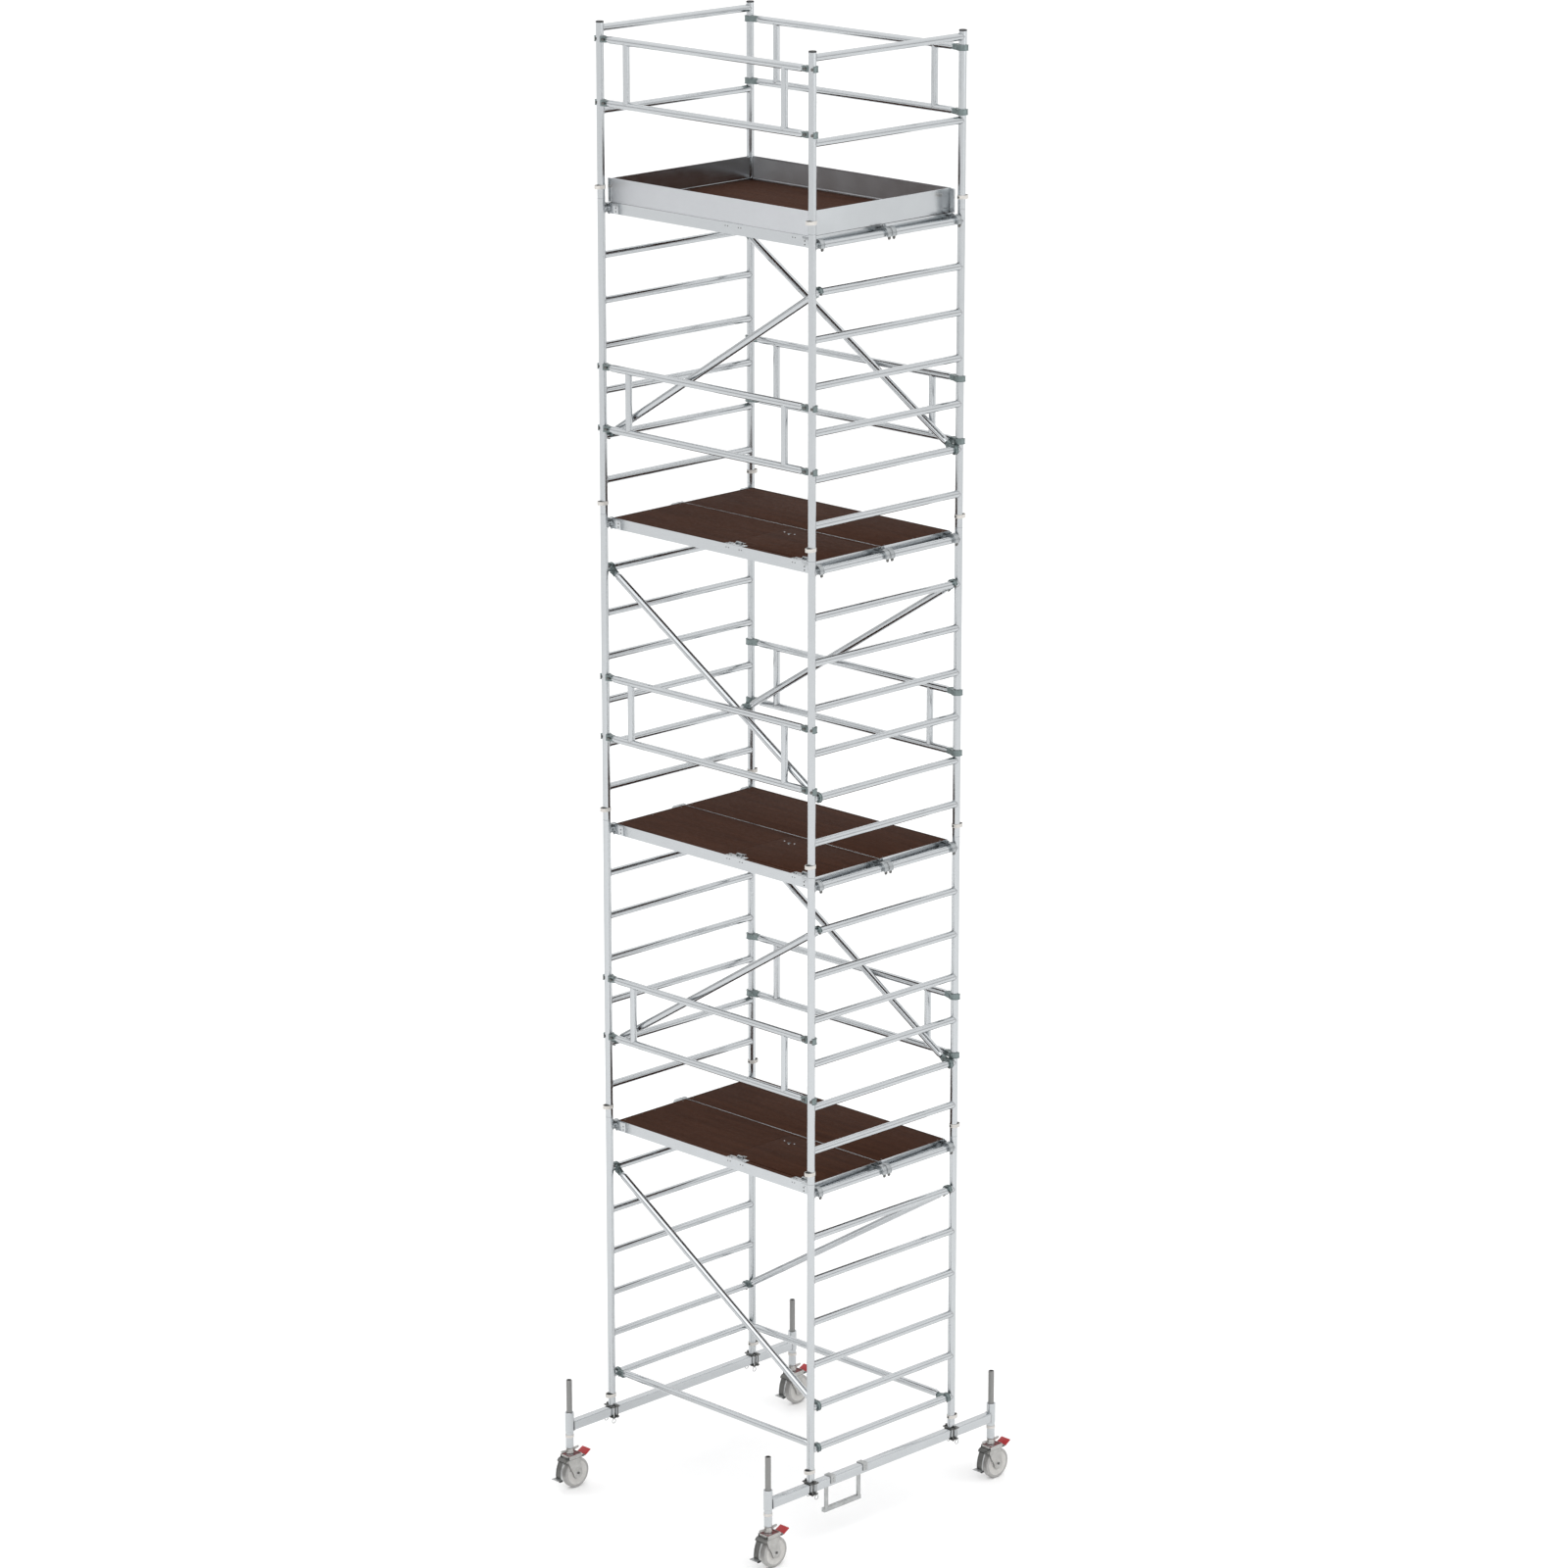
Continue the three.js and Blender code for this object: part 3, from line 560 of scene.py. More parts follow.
def clawed_bar(distance, rise, width):
    """Bar along X from the origin, with a claw round the rung at each end."""
    shape = Shape(ALU_X, CLAW, DARK_STEEL)
    left = UPRIGHT_XZ
    right = moved(distance, 0, 0) @ ABOUT_FACE @ UPRIGHT_XZ
    for matrix in (left, right):
        claw(shape, width, matrix, 1, 2, TUBE_RADIUS)
    reach = CLAW_REACH - 0.002
    shape.tube((reach + 0.012, 0, rise), (distance - reach - 0.012, 0, rise), TUBE_RADIUS, 0, 36)
    collar(shape, (reach - 0.008, 0, rise * 0.7), (reach + 0.016, 0, rise), 0)
    collar(shape, (distance - reach + 0.008, 0, rise * 0.7), (distance - reach - 0.016, 0, rise), 0)
    return shape.finished("clawed_bar")


def guard_rail():
    shape = Shape(ALU_X, CLAW, DARK_STEEL, ALU_Z, WELD)
    half = BAY_LENGTH / 2
    for z in (0, RAIL_SPACING):
        for end in (-1, 1):
            turn = Matrix.Identity(4) if end < 0 else Matrix.Rotation(math.pi, 4, "Y")
            claw(shape, RAIL_CLAW_HEIGHT, moved(end * half, 0, z) @ turn, 1, 2, POST_RADIUS + 0.0005)
            start = end * (half - CLAW_REACH + 0.008)
            collar(shape, (start, 0, z), (start - end * 0.024, 0, z), 0)
        reach = half - CLAW_REACH - 0.014
        shape.tube((-reach, 0, z), (reach, 0, z), TUBE_RADIUS, 0, 36)
    for x in (-UPRIGHT_AT, UPRIGHT_AT):
        shape.tube((x, 0, 0), (x, 0, RAIL_SPACING), UPRIGHT_RADIUS, 3, 32)
        for z, way in ((0, 1), (RAIL_SPACING, -1)):
            path = []
            for i in range(24):
                turn = 2 * math.pi * i / 24
                y = UPRIGHT_RADIUS * math.sin(turn)
                lift = math.sqrt(TUBE_RADIUS ** 2 - y ** 2)
                path.append((x + UPRIGHT_RADIUS * math.cos(turn), y, z + way * (lift + 0.0006)))
            shape.sweep(path, 0.0020, 4, 8, closed=True)
    return shape.finished("guard_rail")


# ---------------------------------------------------------------- decks


def beam_outline(outer, inner):
    """Section of a deck beam across Y and Z: web, flanges, board ledge and top lip."""
    way = 1 if inner > outer else -1
    web = outer + way * 0.0035
    ledge = BOARD_TOP - BOARD_THICKNESS
    return [
        (outer, DECK_BOTTOM), (inner, DECK_BOTTOM),
        (inner, DECK_BOTTOM + 0.0035), (web, DECK_BOTTOM + 0.0035),
        (web, 0.012), (web + way * 0.002, 0.013), (web + way * 0.002, 0.016), (web, 0.017),
        (web, ledge - 0.004), (inner, ledge - 0.004), (inner, ledge), (outer + way * LIP, ledge),
        (outer + way * LIP, DECK_TOP), (outer, DECK_TOP),
    ]


def deck_hook(shape, x, y, way):
    """Cast half-round hook over the rung: two cheeks, a strap over them and a latch nose."""
    def outline(inside, outside, reach):
        half = outside * math.sin(math.radians(38))
        return (arc(outside, 205, 38, 20) + [(reach, half), (reach, -half * 0.75)]
                + arc(outside, -40, -46, 1) + arc(inside, -46, 205, 26))
    inside = TUBE_RADIUS + 0.0012
    reach = BAY_LENGTH / 2 - DECK_END + 0.003
    place = moved(x, y, 0) @ (Matrix.Identity(4) if way > 0 else ABOUT_FACE)
    for side in (-1, 1):
        offset = moved(0, side * (HOOK_WIDTH / 2 - 0.0025), 0)
        shape.slab(outline(inside, inside + 0.0165, reach), 0.005, place @ offset @ UPRIGHT_XZ, 1, 0.0010)
    strap = arc(inside + 0.0155, 203, 52, 18) + arc(inside + 0.0125, 52, 203, 18)
    shape.slab(strap, HOOK_WIDTH - 0.006, place @ UPRIGHT_XZ, 1, 0.0006)
    nose = [(-0.036, -0.012), (-0.026, -0.008), (-0.0235, -0.020), (-0.026, -0.032), (-0.033, -0.034),
            (-0.038, -0.026)]
    shape.slab(nose, 0.014, place @ UPRIGHT_XZ, 2, 0.0012)


def rivet(shape, matrix, slot, radius=0.0055):
    shape.turned([(0, 0), (radius, 0), (radius * 0.92, 0.0012), (radius * 0.55, 0.0024), (0, 0.0028)],
                 matrix, slot, 18)


def deck_frame(hinges=()):
    """Aluminium frame of one deck, lying from the seam to the front edge."""
    shape = Shape(ALU_X, HOOK, DARK_STEEL, ALU_Y)
    outer = -DECK_HALF_WIDTH
    inner = -DECK_SEAM
    span = 2 * DECK_END
    shape.slab(beam_outline(outer, outer + 0.026), span, UPRIGHT_YZ, 0, 0.0005)
    shape.slab(beam_outline(inner, inner - 0.026), span, UPRIGHT_YZ, 0, 0.0005)
    centre = (outer + inner) / 2
    width = inner - outer - 0.008
    for end in (-1, 1):
        points = [(end * (DECK_END - 0.001 - x), z) for x, z in beam_outline(0.0, 0.024)]
        shape.slab(points, width, moved(0, centre, 0) @ UPRIGHT_XZ, 3, 0.0005)
        for y in (outer + HOOK_WIDTH / 2, inner - HOOK_WIDTH / 2):
            deck_hook(shape, end * BAY_LENGTH / 2, y, -end)
        bracket = [(0.785, BOARD_TOP - 0.004), (0.872, BOARD_TOP - 0.004), (0.872, 0.004),
                   (0.860, DECK_BOTTOM), (0.785, DECK_BOTTOM)]
        shape.slab([(end * x, z) for x, z in bracket], 0.0016,
                   moved(0, outer - 0.0009, 0) @ UPRIGHT_XZ, 0, 0.0004)
        for x, z in ((0.806, 0.016), (0.806, -0.006)):
            face = moved(end * x, outer - 0.0017, z) @ UPRIGHT_XZ
            rivet(shape, face, 2, 0.0048)
    for x in (-0.60, -0.30, 0.0):
        shape.block((x - 0.015, outer + 0.004, DECK_BOTTOM + 0.004),
                    (x + 0.015, inner - 0.004, 0.034), 3, 0.001)
    for x in hinges:
        hinge_plate(shape, x)
    return shape.finished("deck_frame")


def hinge_plate(shape, x):
    """Angle plate riveted to the front beam, reaching over its lip to the hinge pin."""
    axis_y = -DECK_HALF_WIDTH + HATCH_INSET
    top = DECK_TOP + 0.0005
    left = x - 0.078
    right = x + 0.078
    shape.block((left, -DECK_HALF_WIDTH + 0.0262, BOARD_TOP), (right, axis_y - 0.004, top + 0.002), 0, 0.0006)
    shape.block((left, -DECK_HALF_WIDTH, top), (right, -DECK_HALF_WIDTH + 0.028, top + 0.002), 0, 0.0006)
    for side in (-1, 1):
        lug = [(-0.579, BOARD_TOP), (axis_y + 0.006, BOARD_TOP), (axis_y + 0.0062, HINGE_HEIGHT)]
        lug += arc(0.0062, 0, 180, 10, (axis_y, HINGE_HEIGHT))[1:]
        shape.slab(lug, 0.006, moved(x + side * 0.021, 0, 0) @ UPRIGHT_YZ, 1, 0.0006)
        for offset in (0.045, 0.066):
            rivet(shape, moved(x + side * offset, -DECK_HALF_WIDTH + 0.014, top + 0.002), 2, 0.0042)
            face = moved(x + side * offset, -DECK_HALF_WIDTH, 0.026) @ UPRIGHT_XZ
            rivet(shape, face, 2, 0.0038)
    shape.tube((x - 0.026, axis_y, HINGE_HEIGHT), (x + 0.026, axis_y, HINGE_HEIGHT), 0.004, 2, 20)


def board_pieces(shape, with_hatch):
    """Plywood of one deck, in one sheet or round the trapdoor."""
    low = BOARD_TOP - BOARD_THICKNESS
    front = -DECK_HALF_WIDTH + LIP + 0.0003
    back = -DECK_SEAM - LIP - 0.0003
    end = DECK_END - LIP - 0.0013
    if not with_hatch:
        shape.block((-end, front, low), (end, back, BOARD_TOP), 0, 0.0006)
        return
    hatch_front = -DECK_HALF_WIDTH + HATCH_INSET - 0.0055
    hatch_back = -DECK_SEAM - 0.0205
    shape.block((-end, front, low), (HATCH_FROM - 0.001, back, BOARD_TOP), 0, 0)
    shape.block((HATCH_TO + 0.001, front, low), (end, back, BOARD_TOP), 0, 0)
    shape.block((HATCH_FROM - 0.001, front, low), (HATCH_TO + 0.001, hatch_front, BOARD_TOP), 0, 0)
    shape.block((HATCH_FROM - 0.001, hatch_back, low), (HATCH_TO + 0.001, back, BOARD_TOP), 0, 0)


def deck_board(with_hatch):
    shape = Shape(BOARD, DARK_STEEL)
    board_pieces(shape, with_hatch)
    for x in (-0.835, 0.842):
        for y in (-0.56, -0.30, -0.05):
            rivet(shape, moved(x, y, BOARD_TOP - 0.0012), 1, 0.0050)
    return shape.finished("deck_board")


def hatch():
    """Trapdoor: plywood panel with hinge leaves and a finger hole."""
    shape = Shape(BOARD, ALU_X, HOOK, DARK_STEEL, BLACK)
    axis_y = -DECK_HALF_WIDTH + HATCH_INSET
    near = axis_y + 0.006
    far = -DECK_SEAM - 0.0230
    low = BOARD_TOP - BOARD_THICKNESS
    shape.block((HATCH_FROM + 0.0015, near, low), (HATCH_TO - 0.0015, far, BOARD_TOP), 0, 0.0008)
    for x in HATCH_HINGES:
        shape.block((x - 0.0165, axis_y + 0.008, BOARD_TOP),
                    (x + 0.0165, axis_y + 0.040, BOARD_TOP + 0.0028), 2, 0.0005)
        shape.turned([(0.0046, -0.0165), (0.0062, -0.0165), (0.0062, 0.0165), (0.0046, 0.0165)],
                     moved(x, axis_y, HINGE_HEIGHT) @ ALONG_X,
                     2, 24, closed=True)
        web = [(axis_y + 0.0045, HINGE_HEIGHT - 0.003), (axis_y + 0.010, BOARD_TOP + 0.0026),
               (axis_y + 0.010, BOARD_TOP), (axis_y + 0.002, BOARD_TOP + 0.002),
               (axis_y + 0.001, HINGE_HEIGHT - 0.005)]
        shape.slab(web, 0.032, moved(x, 0, 0) @ UPRIGHT_YZ, 2, 0)
        for offset in (-0.009, 0.009):
            rivet(shape, moved(x + offset, axis_y + 0.030, BOARD_TOP + 0.0026), 3, 0.0036)
    hole = moved(*FINGER_HOLE, BOARD_TOP)
    shape.turned([(0.0140, -0.004), (0.0140, 0.0003), (0.0152, 0.0008), (0.0165, 0.0003), (0.0165, -0.001)],
                 hole, 0, 32, closed=True)
    # Black disc flush with the board top: painted shade seen down the finger hole, which is not cut through.
    shape.turned([(0, -0.0005), (0.0142, -0.0005), (0.0142, 0.0001), (0, 0.0001)], hole, 4, 32)
    for dx, dy in LATCH_RIVETS:
        rivet(shape, hole @ moved(dx, dy, -0.0004), 1, 0.0055)
    return shape.finished("hatch")


def toe_boards():
    """Thin aluminium boards on edge, rolled along the top, with corner posts and locating pegs."""
    shape = Shape(ALU_SHEET, ALU_Y, ALU_Z, DARK_STEEL)
    low = DECK_TOP + SLIP
    long_half = DECK_END - 0.008
    wide_half = DECK_HALF_WIDTH - 0.003
    thick = 0.0055

    def outline(face):
        """Section of one board: web, rolled top and small foot, with its outer face at the given place."""
        return [(face, low), (face, TOE_TOP - 0.002), (face - 0.002, TOE_TOP), (face - thick, TOE_TOP),
                (face - thick, TOE_TOP - 0.008), (face - 0.0025, TOE_TOP - 0.010),
                (face - 0.0025, low + 0.010),
                (face - thick, low + 0.008), (face - thick, low)]

    for side in (-1, 1):
        across = [(side * y, z) for y, z in outline(wide_half)]
        shape.slab(across, 2 * long_half - 0.004, UPRIGHT_YZ, 0, 0.0004)
        along = [(side * x, z) for x, z in outline(long_half)]
        shape.slab(along, 2 * wide_half - 0.012, UPRIGHT_XZ, 1, 0.0004)
        for end in (-1, 1):
            x = side * (long_half - 0.011)
            y = end * (wide_half - 0.011)
            shape.block((x - 0.008, y - 0.008, low), (x + 0.008, y + 0.008, TOE_TOP - 0.001), 2, 0.002)
            near, far = sorted((side * (long_half + 0.0008), side * (long_half + 0.031)))
            inner, outer = sorted((end * (wide_half - 0.0015), end * (wide_half - 0.0125)))
            shape.block((near, inner, low + 0.001), (far, outer, TOE_TOP - 0.003), 2, 0.001)
            shape.block((near + 0.006, inner - 0.0008, low + 0.020),
                        (far - 0.006, outer + 0.0008, low + 0.024), 3, 0)
    return shape.finished("toe_boards")


# ---------------------------------------------------------------- base


def rounded_rectangle(width, height, radius, steps=4):
    w = width / 2 - radius
    h = height / 2 - radius
    return (arc(radius, 0, 90, steps, (w, h)) + arc(radius, 90, 180, steps, (-w, h))
            + arc(radius, 180, 270, steps, (-w, -h)) + arc(radius, 270, 360, steps, (w, -h)))


def crossbeam():
    """Rounded box beam with a leg sleeve at each end."""
    shape = Shape(ALU_Y, ALU_Z, WELD, WHITE_CLIP)
    section = rounded_rectangle(BEAM_WIDTH, BEAM_HEIGHT, 0.007)
    beam = moved(0, 0, BEAM_TOP - BEAM_HEIGHT / 2) @ UPRIGHT_XZ
    shape.slab(section, 2 * LEG_Y - 0.045, beam, 0, 0)
    for side in (-1, 1):
        y = side * LEG_Y
        height = SLEEVE_TOP - SLEEVE_BOTTOM
        step = BEAM_TOP - BEAM_HEIGHT - 0.004 - SLEEVE_BOTTOM
        profile = [(0.0194, 0), (0.0245, 0), (0.0255, 0.001), (0.0255, step - 0.002), (0.0283, step),
                   (0.0283, height - 0.0015), (0.0270, height), (0.0215, height), (0.0194, height - 0.002)]
        shape.turned(profile, moved(0, y, SLEEVE_BOTTOM), 1, 48, closed=True)
        band = [bulged_ring(radius, 0.0, 48) for radius in (0.0257, 0.0279)]
        shape.ring_wall(*band, 0.018, moved(0, y, 0.362), 3)
        seam = [(BEAM_WIDTH / 2 * sx, y - side * 0.0225, BEAM_TOP - BEAM_HEIGHT / 2 + BEAM_HEIGHT / 2 * sz)
                for sx, sz in ((-1, -0.9), (-1, 0.9), (-0.9, 1), (0.9, 1),
                               (1, 0.9), (1, -0.9), (0.9, -1), (-0.9, -1))]
        shape.sweep(seam, 0.0030, 2, 8, closed=True)
    return shape.finished("crossbeam")


def wing_nut():
    """Cast nut under a leg sleeve, with two wings along Y that droop a little."""
    shape = Shape(FORK)
    body = [(0.0196, 0), (0.0245, 0), (0.0262, 0.003), (0.0262, 0.016), (0.0240, 0.020), (0.0240, 0.038),
            (0.0262, 0.0430), (0.0196, 0.0435)]
    shape.turned(body, moved(0, 0, NUT_BOTTOM + 0.0002), 0, 40, closed=True)
    for side in (-1, 1):
        wing = [(side * 0.020, 0.254), (side * 0.046, 0.256), (side * 0.066, 0.264), (side * 0.0755, 0.2655),
                (side * 0.0755, 0.2735), (side * 0.064, 0.2745), (side * 0.046, 0.268), (side * 0.020, 0.272)]
        shape.slab(wing, 0.011, UPRIGHT_YZ, 0, 0.0025)
    return shape.finished("wing_nut")


CLAMP_PLATE = (0.096, 0.062, 0.009)
CLAMP_BASE = (0.088, 0.058, 0.008)


def foot_clamp():
    """Plate round a post foot, four rods down past the beam to a lower plate, and two ring eyes."""
    shape = Shape(DARK_STEEL, ZINC)
    low = BEAM_TOP - BEAM_HEIGHT - 0.009
    shape.slab(rounded_rectangle(*CLAMP_PLATE), 0.0055, moved(0, 0, BEAM_TOP + 0.0045), 0, 0.001)
    shape.slab(rounded_rectangle(*CLAMP_BASE), 0.005, moved(0, 0, low + 0.0025), 0, 0.001)
    for side in (-1, 1):
        x = side * 0.0355
        for y in (-0.017, 0.017):
            # Like rods in two metals, dark clamp steel at -Y and light zinc at +Y: painted shade on one,
            # painted highlight on the other.
            shape.tube((x, y, low - 0.007), (x, y, BEAM_TOP + 0.010), 0.0042, 1 if y > 0 else 0, 18)
        nut = moved(side * 0.0385, 0, BEAM_TOP + 0.0072)
        shape.turned([(0, 0), (0.0095, 0), (0.0095, 0.008), (0.006, 0.010), (0, 0.010)], nut, 0, 6)
        eye = [(x, 0.017 + 0.0145 * math.sin(t), low - 0.020 + 0.0150 * math.cos(t))
               for t in (2 * math.pi * i / 28 for i in range(28))]
        shape.sweep(eye, 0.0024, 1, 8, closed=True)
    return shape.finished("foot_clamp")


def spindle():
    """Screw leg: rolled round thread over its whole length, plain top rim, stem in the caster."""
    shape = Shape(STEEL)
    bottom = FORK_TOP + 0.0006
    length = SPINDLE_TOP - bottom
    turns = int(length / 0.0075)
    profile = [(0, 0), (0.0180, 0)]
    for i in range(1, turns * 4 - 3):
        wave = 0.5 + 0.5 * math.cos(math.pi * i / 2)
        profile.append((0.0180 + 0.0009 * wave, 0.0075 * i / 4))
    profile += [(0.0182, length - 0.004), (0.0182, length - 0.001), (0.0174, length), (0.0140, length),
                (0.0140, length - 0.030), (0, length - 0.030)]
    shape.turned(profile, moved(0, 0, bottom), 0, 36)
    return shape.finished("leg_spindle")


def caster_fork():
    """Pressed fork: rimmed tray over the wheel, two rounded cheeks, axle and pin bolts, swivel boss."""
    shape = Shape(FORK, ZINC, DARK_STEEL, DARK_RED)
    cheek = [(-0.039, 0.212), (-0.037, 0.190), (-0.022, 0.145), (0.006, 0.106)]
    cheek += arc(0.038, 192, 348, 18, (WHEEL_TRAIL, WHEEL_RADIUS))
    cheek += [(0.072, 0.135), (0.064, 0.190), (0.061, 0.212)]
    wall_low = 0.211
    for side in (-1, 1):
        shape.slab(cheek, 0.005, moved(side * 0.0283, 0, 0) @ UPRIGHT_YZ, 0, 0.0014)
        wall = [(-0.044, wall_low + 0.004), (-0.040, wall_low), (0.061, wall_low), (0.065, wall_low + 0.004),
                (0.065, FORK_TOP - 0.004), (0.061, FORK_TOP), (-0.040, FORK_TOP), (-0.044, FORK_TOP - 0.004)]
        shape.slab(wall, 0.0030, moved(side * 0.0424, 0, 0) @ UPRIGHT_YZ, 0, 0.0010)
        head = moved(side * 0.0307, WHEEL_TRAIL, WHEEL_RADIUS) @ Matrix.Rotation(
            side * math.pi / 2, 4, "Y")
        shape.turned([(0, 0), (0.0120, 0), (0.0120, 0.0014), (0, 0.0014)], head, 1, 28)
        bolt = [(0, 0.001), (0.0088, 0.001), (0.0088, 0.0052), (0.0072, 0.0060), (0, 0.0060)]
        shape.turned(bolt, head, 2, 6)
        pin_y, pin_z = ROCKER_PIVOT
        pin = moved(side * 0.0432, pin_y, pin_z) @ Matrix.Rotation(side * math.pi / 2, 4, "Y")
        shape.turned([(0, -0.018), (0.0040, -0.018), (0.0040, 0.0), (0.0, 0.0008)], pin, 2, 20)
    for y in (-0.0425, 0.0635):
        shape.block((-0.0305, y - 0.0015, wall_low), (0.0305, y + 0.0015, FORK_TOP), 0, 0.0008)
        for side in (-1, 1):
            low_x, high_x = sorted((side * 0.0300, side * 0.0430))
            shape.block((low_x, y - 0.0015, FORK_TOP - 0.0055), (high_x, y + 0.0015, FORK_TOP), 0, 0.0008)
    crown = [(y, WHEEL_RADIUS + math.sqrt(0.1075 ** 2 - (y - WHEEL_TRAIL) ** 2))
             for y in (-0.030, -0.018, -0.005, 0.008, 0.020, 0.032, 0.045, 0.056)]
    bridge = [(-0.040, 0.2260), (-0.040, 0.200)] + crown + [(0.061, 0.206), (0.061, 0.2260)]
    shape.slab(bridge, 0.055, UPRIGHT_YZ, 0, 0.0008)
    shape.block((-0.0395, -0.0400, 0.2312), (0.0395, 0.0610, 0.2335), 3, 0.0008)
    boss = [(0, 0), (0.026, 0), (0.0265, 0.003), (0.0235, 0.0082), (0, 0.0090)]
    shape.turned(boss, moved(0, 0, FORK_TOP - 0.0097), 1, 40)
    shape.tube((-0.029, WHEEL_TRAIL, WHEEL_RADIUS), (0.029, WHEEL_TRAIL, WHEEL_RADIUS), 0.0078, 1, 28)
    return shape.finished("caster_fork")


def rocker_steel():
    """Steel side bars, narrow curved arm and wide foot pedal of the brake rocker."""
    shape = Shape(DARK_STEEL, ZINC, BLACK)
    pivot_z = ROCKER_PIVOT[1]
    for side in (-1, 1):
        bar = [(-0.061, pivot_z - 0.007), (0.092, pivot_z - 0.007), (0.098, pivot_z - 0.001),
               (0.092, pivot_z + 0.0075), (-0.061, pivot_z + 0.0075)]
        shape.slab(bar, 0.0065, moved(side * 0.0355, 0, 0) @ UPRIGHT_YZ, 0, 0.0010)
    yoke = [(-0.0515, 0.2205), (-0.0515, 0.2060), (-0.066, 0.200), (-0.074, 0.196),
            (-0.078, 0.204), (-0.068, 0.216)]
    shape.slab(yoke, 0.0764, UPRIGHT_YZ, 0, 0.0012)
    # The arm's middle is dark clamp steel: painted shade of its shadowed concave inner side.
    arm = [(-0.066, 0.201), (-0.074, 0.190), (-0.0815, 0.172), (-0.0885, 0.150),
           (-0.0925, 0.126), (-0.0940, 0.104), (-0.0925, 0.090), (-0.0985, 0.090),
           (-0.1010, 0.110), (-0.0985, 0.130), (-0.0955, 0.152),
           (-0.0880, 0.176), (-0.0790, 0.199)]
    shape.slab(arm, 0.046, UPRIGHT_YZ, 0, 0.0012)
    for side in (-1, 1):
        rim = moved(side * 0.0227, -0.003, 0) @ UPRIGHT_YZ
        shape.slab(arm, 0.003, rim, 1, 0.0010)
    half = 0.0385
    pedal = [(-half, -0.124), (half, -0.124), (half, -0.094), (0.024, -0.088), (0.010, -0.084),
             (-0.030, -0.084), (-half, -0.090)]
    shape.slab(pedal, 0.0060, moved(0, 0, 0.0860), 1, 0.0018)
    shape.block((half - 0.0085, -0.1248, 0.0815), (half + 0.0003, -0.0990, 0.0900), 2, 0.0022)
    for i in range(3):
        y = -0.118 + 0.009 * i
        shape.block((-half + 0.006, y, 0.0885), (half - 0.014, y + 0.0026, 0.0902), 1, 0.0007)
    return shape.finished("rocker_steel")


def rocker_pedal():
    """Red release pedal: a sloping ribbed plate held out by a web at each side."""
    shape = Shape(RED)
    half = 0.0385
    profile = [(0.0985, 0.2125), (0.1050, 0.2085), (0.1480, 0.2340), (0.1455, 0.2395), (0.1010, 0.2170)]
    shape.slab(profile, 2 * half, UPRIGHT_YZ, 0, 0.0022)
    web = [(0.083, 0.2095), (0.103, 0.2075), (0.140, 0.2305), (0.136, 0.2335),
           (0.104, 0.2175), (0.083, 0.2165)]
    for side in (-1, 1):
        shape.slab(web, 0.007, moved(side * (half - 0.0036), 0, 0) @ UPRIGHT_YZ, 0, 0.0012)
    slope = math.atan2(0.0235, 0.0445)
    deck = moved(0, 0.1245, 0.2272) @ Matrix.Rotation(slope, 4, "X")
    for i in range(4):
        rib = Shape(RED)
        rib.block((-half + 0.006, -0.0150 + 0.0098 * i, -0.001),
                  (half - 0.006, -0.0118 + 0.0098 * i, 0.0012), 0, 0.0006)
        shape.take(rib.mesh, 0, deck)
    return shape.finished("rocker_pedal")


def wheel():
    """Caster wheel about X: crowned tread on a solid dished body with a steel bush."""
    shape = Shape(WHEEL, TREAD, ZINC)
    half = WHEEL_HALF_WIDTH
    across = ALONG_X
    tread = [(0.0800, -half + 0.0010)]
    tread += [
        (0.0935 + 0.0065 * math.cos(math.radians(a)) ** 0.6, (half - 0.0015) * math.sin(math.radians(a)))
        for a in range(-84, 85, 12)]
    tread += [(0.0800, half - 0.0010)]
    shape.turned(tread, across, 1, 96, closed=True)
    side = [(0.0088, half - 0.0002), (0.0150, half - 0.0002), (0.0170, 0.0200), (0.0720, 0.0190),
            (0.0760, 0.0212), (0.0800, 0.0216), (0.0830, 0.0216)]
    body = [(r, -h) for r, h in side] + [(r, h) for r, h in reversed(side)]
    shape.turned(body, across, 0, 96, closed=True)
    for i in range(5):
        turn = Matrix.Rotation(2 * math.pi * i / 5, 4, "X")
        for sign in (-1, 1):
            dimple = turn @ moved(sign * 0.0193, 0, 0.052) @ Matrix.Rotation(sign * math.pi / 2, 4, "Y")
            shape.turned([(0, 0.0002), (0.0026, 0.0002), (0.0034, 0.0008), (0.0040, 0.0002)], dimple, 0, 16)
    bush = [(0.0086, -half), (0.0135, -half), (0.0135, half), (0.0086, half)]
    shape.turned(bush, across, 2, 40, closed=True)
    return shape.finished("wheel")


